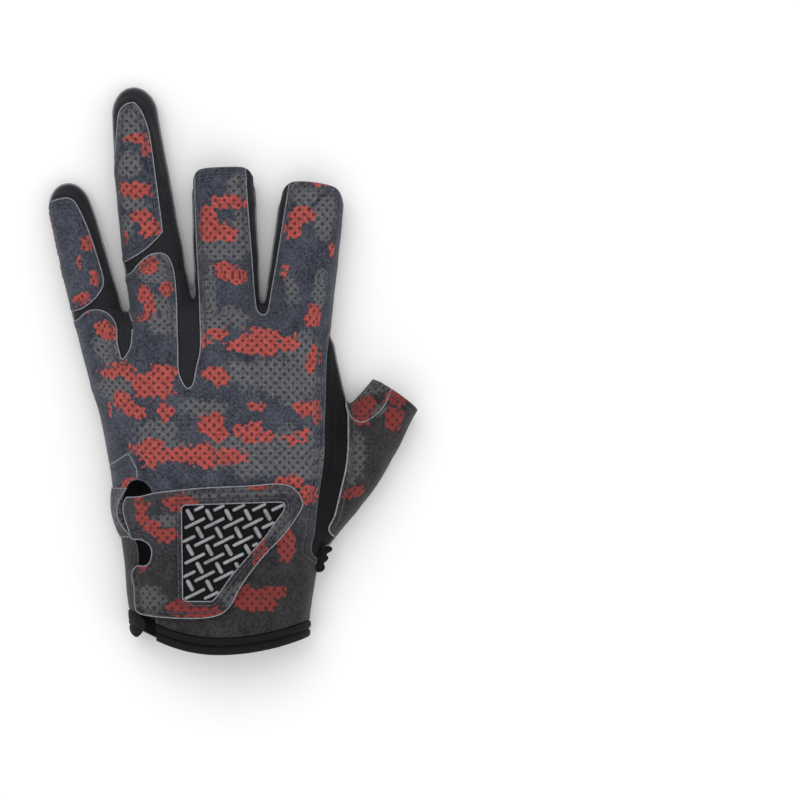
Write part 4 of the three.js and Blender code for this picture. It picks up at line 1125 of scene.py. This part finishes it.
# Thumb: one piece of suede round back and palm, let into the palm, with a small web piece sewn in at
# its mouth beside the hand.
THUMB_RED = [
    (56, 100.4, 13.6, 6.4), (56.8, 95.2, 7.2, 6.4), (71.2, 102.8, 10.4, 5.6), (70, 93.6, 8, 8.8),
    (55.2, 64, 8.8, 5.6),
]
THUMB_PALM_RED = [
    (21.4, 86.4, 4.4, 9.6), (18.6, 90.4, 5.6, 4), (23.8, 70.4, 5.6, 8), (28.2, 64, 5.6, 7.2),
    (27.8, 37.6, 6, 12), (31, 30.4, 7.2, 8), (25.4, 33.6, 4, 4.8), (39, 76.4, 5.2, 10.4),
    (46.2, 87.6, 4.4, 8), (54.2, 84.8, 8.8, 4), (57, 78.8, 6.4, 8), (61, 83.6, 4.8, 4),
    (46.2, 64.4, 4.8, 9.6), (51, 66.8, 8, 4), (47.4, 56.8, 4.8, 5.6), (60.2, 68.8, 4, 7.2),
    (64.2, 94.8, 6.4, 4.8),
]
THUMB_PALM_ASH = [
    (14.2, 61.6, 7.2, 24), (34.2, 51.6, 12, 20), (46.2, 78.4, 16, 13.6), (60.2, 85.6, 8, 12),
    (18.2, 77.6, 8, 8), (26.2, 25.6, 12, 4.8),
]
THUMB_ASH = [(54, 78.4, 7.2, 17.6), (60, 107.6, 12, 7.2), (62.4, 97.6, 8, 4.8)]
thumb_back = sewn(suede_shell, thumb_back_outline, BACK_HALF, thumb_web_outline)
thumb_palm = sewn(suede_shell, thumb_palm_outline, (DEEP, SEAM_HEIGHT + 0.3))
thumb_whole = cut(thumb_back, "UNION", thumb_palm)
thumb_border = Nearest(thumb_seam, thumb_web_outline, palm_arc, palm_keyhole, tip_edge(thumb))
printed(thumb_whole, THUMB_RED, THUMB_ASH, thumb_border, 1.0, THUMB_PALM_RED, THUMB_PALM_ASH)
piece("thumb_suede_panel", thumb_whole, "thumb_panel")
web = sewn(suede_shell, thumb_web_outline, BACK_HALF)
printed(web, THUMB_RED, THUMB_ASH, thumb_border, 1.0)
piece("thumb_suede_web", web, "thumb_web")
edged("thumb_raw_edge", [thumb_seam], radius=0.36)
edged("thumb_web_raw_edge", [thumb_web_outline], radius=0.2)
thumb_rows = inside_of(thumb_back_outline, STITCH_INSET, Nearest(thumb_seam))
stitched("thumb_stitches", thumb_rows + [tip_row(thumb, TIP_ROWS[0])])

# Black stretch knit between the suede pieces, finely ribbed along the fingers: the sides of the ring,
# little and index fingers, and a gore between the back and the thumb.
RIBS = 7500.0
COURSES = 9500.0


def ribbed_knit(strand, dark, light):
    place = strand.place()
    x, y = place.x_and_y()
    rib = strand.maths("SINE", x * RIBS)
    course = strand.maths("SINE", y * COURSES + rib * 1.2)
    fuzz = place.noise(0.0007, 3.0, 0.6)
    loops = rib * 0.07 + course * 0.07 + fuzz
    return {
        "Base Color": loops.between(0.0, 1.1).tint(dark, light),
        "Roughness": 0.78 + 0.12 * fuzz,
        "Normal": bumped(strand, loops, 0.5, 0.0003),
    }


knit = finish(
    "black_stretch_knit", lambda strand: ribbed_knit(strand, srgb(9, 9, 11), srgb(44, 44, 50)),
    Sheen_Weight=0.04, Specular_IOR_Level=0.22,
)
# Painted shade: a darker copy of the same black stretch knit, for the gore beside the thumb and the gathered
# ruffles, where they lie in shade.
painted_shade_knit = finish(
    "black_knit_painted_shade", lambda strand: ribbed_knit(strand, srgb(3, 3, 4), srgb(24, 23, 26)),
    Specular_IOR_Level=0.2,
)
for name, node, zone, without, cloth in (
    ("little_knit_sides", "little_knit", little_zone, (back_outline, little_patch_outline), knit),
    ("ring_knit_sides", "ring_knit", ring_zone, (back_outline, ring_patch_outline), knit),
    ("index_knit_sides", "index_knit", index_zone, (back_outline,), knit),
    ("knit_side_gore", "side_gore", gore_zone, (back_outline, thumb_back_outline), painted_shade_knit),
):
    piece(name, sewn(knit_shell, zone, BACK_HALF, *without), node, cloth)

# Wrist strap: two layers of suede sewn together, coming out of the vent and lying over the back. A
# narrow loop of the same strap turns round the little-finger side. The badge shows in its window.
STRAP_CLEAR = SUEDE_PROUD + 0.3
STRAP_RED = [
    (-15.2, 60.8, 13.6, 5.6), (-32.4, 59.6, 6.8, 5.6), (-32, 54.8, 6.4, 5.6), (-27.6, 50.8, 8, 4.8),
    (-21.2, 48, 9.6, 5.2), (-16, 19.2, 10.4, 4.8), (-6, 16.8, 18.4, 4.8), (-32.4, 34.4, 4.8, 3.2),
    (16.8, 40.8, 6.4, 11.2), (16.8, 67.2, 8, 2.4),
]
STRAP_ASH = [
    (12, 64.8, 24, 4), (-22, 53.6, 12, 4.8), (8, 23.2, 16, 9.6), (-28, 21.6, 13.6, 8.8),
    (23.2, 53.6, 10.4, 12), (-4, 63.6, 16, 3.2),
]
STRAP_THICKNESS = 1.4
badge_border = badge_outline + badge_outline[:1]
strap_edges = Nearest(strap_outline + strap_outline[:1], badge_border)


def strap_swell(points):
    x, y, _ = points.T
    away = strap_edges.distance(points)
    out = 0.12 * np.sin(x * 0.31 + y * 0.17) + 0.1 * np.sin(y * 0.37 - x * 0.12 + 2)
    return out + 0.22 * np.exp(-((away - 1.0) / 0.9) ** 2) - 0.3 * np.exp(-((away - 2.1) / 0.6) ** 2)


strap_under = in_slot(skin_over([hand, thumb], STRAP_CLEAR, 0.0, 0.0, 0.9), 0)
strap_over = skin_over([hand, thumb], STRAP_CLEAR + STRAP_THICKNESS, 0.0, 0.0, 0.8)
strap_over = in_slot(rumpled(strap_over, strap_swell), 0)
strap = cut(strap_over, "DIFFERENCE", strap_under)
strap = cut(strap, "INTERSECT", prism(np.array(strap_outline), *BACK_HALF))
strap = cut(strap, "DIFFERENCE", prism(np.array(badge_outline), DEEP, TALL))
printed(strap, STRAP_RED, STRAP_ASH, strap_edges, 0.6)
piece("strap_suede", strap, "wrist_strap")
strap_tree = tree_of(strap_over)
edged("strap_raw_edge", [strap_outline + strap_outline[:1], badge_border], strap_tree)
window_row = spaced(grown(spaced(badge_outline, 0.8, closed=True)[:-1], 1.6), 0.4, closed=True)
stitched(
    "strap_stitches", inside_of(strap_outline, STITCH_INSET, strap_edges) + [window_row],
    strap_tree,
)
# how far the loop reaches over the back: x and y
LOOP_REACH = np.array([
    (-34.8, 46.9), (-36.9, 50.0), (-38.6, 54.0), (-39.2, 58.0), (-38.7, 62.0), (-36.8, 66.4),
])
LOOP_SWELL = 2.1


def strap_loop():
    """The band of the loop, round the side of the hand, with its four edges as lines."""
    rings, rims = [], []
    for share in np.linspace(0, 1, 27):
        y = LOOP_REACH[0, 1] + share * (LOOP_REACH[-1, 1] - LOOP_REACH[0, 1])
        reach = np.interp(y, LOOP_REACH[:, 1], LOOP_REACH[:, 0])
        swell = LOOP_SWELL * math.sin(math.pi * (0.02 + 0.96 * share)) ** 0.9
        seats, normals = [], []
        for turn in np.radians(np.linspace(-42, 86, 90)):
            way = np.array([-math.cos(turn), 0.0, math.sin(turn)])
            start = np.array([-28.0, y, SEAM_HEIGHT + 1]) + way * 40
            hit, normal, *_ = suede_tree.ray_cast(Vector(placed([start])[0]), Vector(-way))
            seat = on_glove(hit)
            if seat[0] < reach:
                seats.append(seat)
                normals.append(normal)
        kept = np.linspace(0, len(seats) - 1, 34).round().astype(int)
        seats, normals = np.array(seats)[kept], np.array(normals)[kept]
        outer = seats + normals * (0.25 + swell)
        rings.append(np.concatenate([outer, (seats + normals * 0.2)[::-1]]))
        rims.append(outer)
    rims = np.array(rims)
    return loft(rings), [rims[0], rims[-1], rims[:, 0], rims[:, -1]]


loop_band, loop_rims = strap_loop()
loop = mesh_of("strap_loop_suede", *loop_band)
printed(loop, [], [(-45, 57, 12, 13)], Nearest(*[rim[:, :2] for rim in loop_rims]))
piece("strap_loop_suede", loop, None)
trim_piece("strap_loop_raw_edge", [rod(rim, 0.2, 5) for rim in loop_rims], raw_edge)

# Badge: moulded black rubber, sewn behind the strap's window, with a generic tread of raised bars.
# Long bars rise to the right, and a short bar leans across between each two.
BAR_PITCH = 7.65
BAR_ROW = 7.05
LONG_BAR = (9.4, 26.5, 0.72)
SHORT_BAR = (5.4, -61.5, 0.92)
BADGE_BASE = 0.8
badge_ground = finish(
    "badge_ground", lambda strand: moulded(strand, srgb(1, 1, 2), srgb(7, 8, 10), 0.5),
    Specular_IOR_Level=0.12,
)
badge_bars = finish(
    "badge_bars", lambda strand: moulded(strand, srgb(104, 105, 108), srgb(160, 161, 165), 0.26),
    Metallic=0.35,
)
badge_top = in_slot(skin_over([hand, thumb], STRAP_CLEAR + BADGE_BASE, 0.0, 0.0, 0.9), 0)
plate = cut(badge_top, "DIFFERENCE", strap_under)
plate = cut(plate, "INTERSECT", prism(grown(badge_outline, -0.15), DEEP, TALL))
piece("badge_plate", plate, "strap_badge", badge_ground)
plate_tree = tree_of(badge_top)
bars = []
window = grown(badge_outline, -0.7)
for row in range(7):
    for column in range(-1, 7):
        along = (0.71 + column + (row % 2) * 0.5) * BAR_PITCH
        centre = badge_corner + np.array([along, (0.47 + row) * BAR_ROW])
        for offset, (length, degrees, radius) in (
            ((0, 0), LONG_BAR), ((-0.25 * BAR_PITCH, 0.48 * BAR_ROW), SHORT_BAR),
        ):
            turn = math.radians(degrees)
            run = np.linspace(radius - length / 2, length / 2 - radius, 41)[:, None]
            path = centre + np.array(offset) + run * np.array([math.cos(turn), math.sin(turn)])
            path = path[inside(window, path)]
            if len(path) < 6:
                continue
            path = path[np.linspace(0, len(path) - 1, 5).astype(int)]
            bars += [rod(seat, radius, 10) for seat in laid(path, plate_tree, radius * 0.5)]
trim_piece("badge_tread_bars", bars, badge_bars)

# Cuff binding: a black stretch tape folded over the raw cuff and sewn with two rows, which leaves two
# soft ridges. Its loose end hangs beside the vent.
BINDING_TOP = 6.85
BINDING_PROFILE = (
    (0.05, -0.9), (0.0, 0.1), (0.35, 0.85), (1.1, 1.25), (2.1, 1.3), (2.9, 1.0), (3.4, 0.35), (3.9, 1.0),
    (4.9, 1.28), (5.8, 1.15), (6.55, 0.8), (BINDING_TOP, 0.2), (BINDING_TOP, -1.65), (3.4, -1.75),
    (0.8, -1.6),
)
BINDING_FLOOR = 1.7
TAIL_STRETCH = 1.66
TAPE_RIBS = 9000.0


def cuff_ring(lift, outset):
    """A ring round the cuff, so far above its edge and so far out from it."""
    angle = np.linspace(0, 2 * math.pi, 220, endpoint=False)
    c, s = np.cos(angle), np.sin(angle)
    across = np.sign(c) * np.abs(c) ** (2 / FULLNESS)
    along = (cuff_sag(across) + lift) / HAND_LENGTH
    rise = hand.height(along) - SEAM_HEIGHT + outset
    drop = SEAM_HEIGHT * UNDERSIDE + outset
    up = np.where(s > 0, rise, drop) * np.sign(s) * np.abs(s) ** (2 / FULLNESS)
    x = hand.shift(along) + (hand.half_width(along) + outset) * across
    floor = 0.0 if outset > 0 else BINDING_FLOOR
    return np.column_stack([x, along * HAND_LENGTH, np.maximum(floor, SEAM_HEIGHT + up)])


def tape(stretch):
    """The binding round the whole cuff, its width stretched downwards."""
    rings = [
        cuff_ring(BINDING_TOP - (BINDING_TOP - lift) * stretch, outset)
        for lift, outset in BINDING_PROFILE
    ]
    return facing_out(mesh_of("tape", *loft(rings, closed=True)))


def ribbed_tape(strand):
    place = strand.place()
    x, _ = place.x_and_y()
    ribs = strand.maths("SINE", x * TAPE_RIBS)
    fuzz = place.noise(0.0008, 3.0, 0.6)
    return {
        "Base Color": (ribs * 0.2 + fuzz).between(0.0, 1.0).tint(srgb(2, 2, 3), srgb(15, 14, 16)),
        "Roughness": 0.7 + 0.15 * fuzz,
        "Normal": bumped(strand, ribs * 0.3 + fuzz, 0.5, 0.0003),
    }


binding_tape = finish("black_binding_tape", ribbed_tape, Specular_IOR_Level=0.22)
tail_zone = cuff_line(-20, -1.6, -0.77, 20) + cuff_line(20, -1.6, -0.77, 20)[::-1]
band = cut(tape(1), "DIFFERENCE", vent_prism)
band = cut(band, "DIFFERENCE", prism(np.array(tail_zone), SEAM_HEIGHT - SEAM_GAP / 2, TALL))
piece("cuff_binding_tape", band, "cuff_binding", binding_tape)
tail_outline = smooth([
    (-40, 20), (-37.4, 16), (-36.8, 13), (-36.6, 10.5), (-35.6, 8.2), (-33.4, 6.8), (-31.4, 8.2), (-30, 11),
    (-28.4, 15), (-28, 20), (-40, 20),
])
tail = cut(tape(TAIL_STRETCH), "DIFFERENCE", vent_prism)
tail = cut(tail, "INTERSECT", prism(np.array(tail_outline[:-1]), *BACK_HALF))
piece("binding_tape_tail", tail, "binding_tail", binding_tape)

# Gathered elastic at the root of the thumb: black knit sewn on stretched, which draws it into three
# soft ruffles beside the strap's end.
RUFFLES = 3
RUFFLE_START = 0.228
RUFFLE_LENGTH = 11.0
RUFFLE_DEPTH = 3.0
RUFFLE_TOP = 12.0


def ruffle_outline():
    outer, inner = [], []
    for share in np.linspace(0, 1, 43):
        along = RUFFLE_START + share * RUFFLE_LENGTH / HAND_LENGTH
        full = abs(math.sin(math.pi * RUFFLES * share)) ** 0.7 * (0.65 + 0.35 * share)
        edge = hand.place(along, 1.0)
        outer.append(edge + np.array([STRAP_CLEAR + 0.8 + RUFFLE_DEPTH * full, 0]))
        inner.append(edge - np.array([1.6, 0]))
    return np.array(outer + inner[::-1])


gathers = cut(prism(ruffle_outline(), SEAM_HEIGHT + 0.3, RUFFLE_TOP), "DIFFERENCE", strap_under)
gathers = changed(
    gathers,
    ("REMESH", {"mode": "VOXEL", "voxel_size": 0.35 * MM}),
    ("SMOOTH", {"factor": 0.5, "iterations": 36}),
)
# The ruffles take the copy of the knit with painted shade.
piece("gathered_elastic", gathers, "wrist_ruffle", painted_shade_knit, 60)

# Floor, light and camera: the glove lies left of the middle of a plain pale table under soft light,
# and is seen from straight above.
TABLE_WHITE = (0.95, 0.95, 0.95, 1)
TABLE_SHADE = (0.93, 0.93, 0.93, 1)
floor_mesh = bpy.data.meshes.new("table")
floor_mesh.from_pydata([(-3, -3, 0), (3, -3, 0), (3, 3, 0), (-3, 3, 0)], [], [(0, 1, 2, 3)])
floor_mesh.materials.append(finish(
    "pale_table", lambda strand: {"Base Color": strand.place().noise(0.4).tint(TABLE_SHADE, TABLE_WHITE)},
    Roughness=0.9, Specular_IOR_Level=0.1,
))
floor = bpy.data.objects.new("table", floor_mesh)
floor.location.z = -0.0005
bpy.context.scene.collection.objects.link(floor)

world = bpy.data.worlds.new("studio")
bpy.context.scene.world = world
world.use_nodes = True
background = world.node_tree.nodes["Background"]
background.inputs["Color"].default_value = (1, 1, 1, 1)
background.inputs["Strength"].default_value = 0.9
for name, place, size, power in (
    ("key", (-0.6, 0.8, 1.5), 1.5, 8),
    ("fill", (0.9, -0.4, 1.6), 1.8, 4),
):
    light = bpy.data.lights.new(name, "AREA")
    light.size, light.energy = size, power
    lamp = bpy.data.objects.new(name, light)
    lamp.location = place
    lamp.rotation_euler = (-Vector(place)).to_track_quat("-Z", "Y").to_euler()
    bpy.context.scene.collection.objects.link(lamp)

FRAME_WIDTH = 0.32
FRAME_MIDDLE = placed([[72.0, 101.6]])[0]
CAMERA_HEIGHT = 2.4
GLOVE_MIDDLE = 0.015
camera_data = bpy.data.cameras.new("camera")
camera_data.lens = camera_data.sensor_width * (CAMERA_HEIGHT - GLOVE_MIDDLE) / FRAME_WIDTH
camera = bpy.data.objects.new("camera", camera_data)
camera.location = (*FRAME_MIDDLE, CAMERA_HEIGHT)
bpy.context.scene.collection.objects.link(camera)
bpy.context.scene.camera = camera
bpy.context.scene.view_settings.view_transform = "Standard"
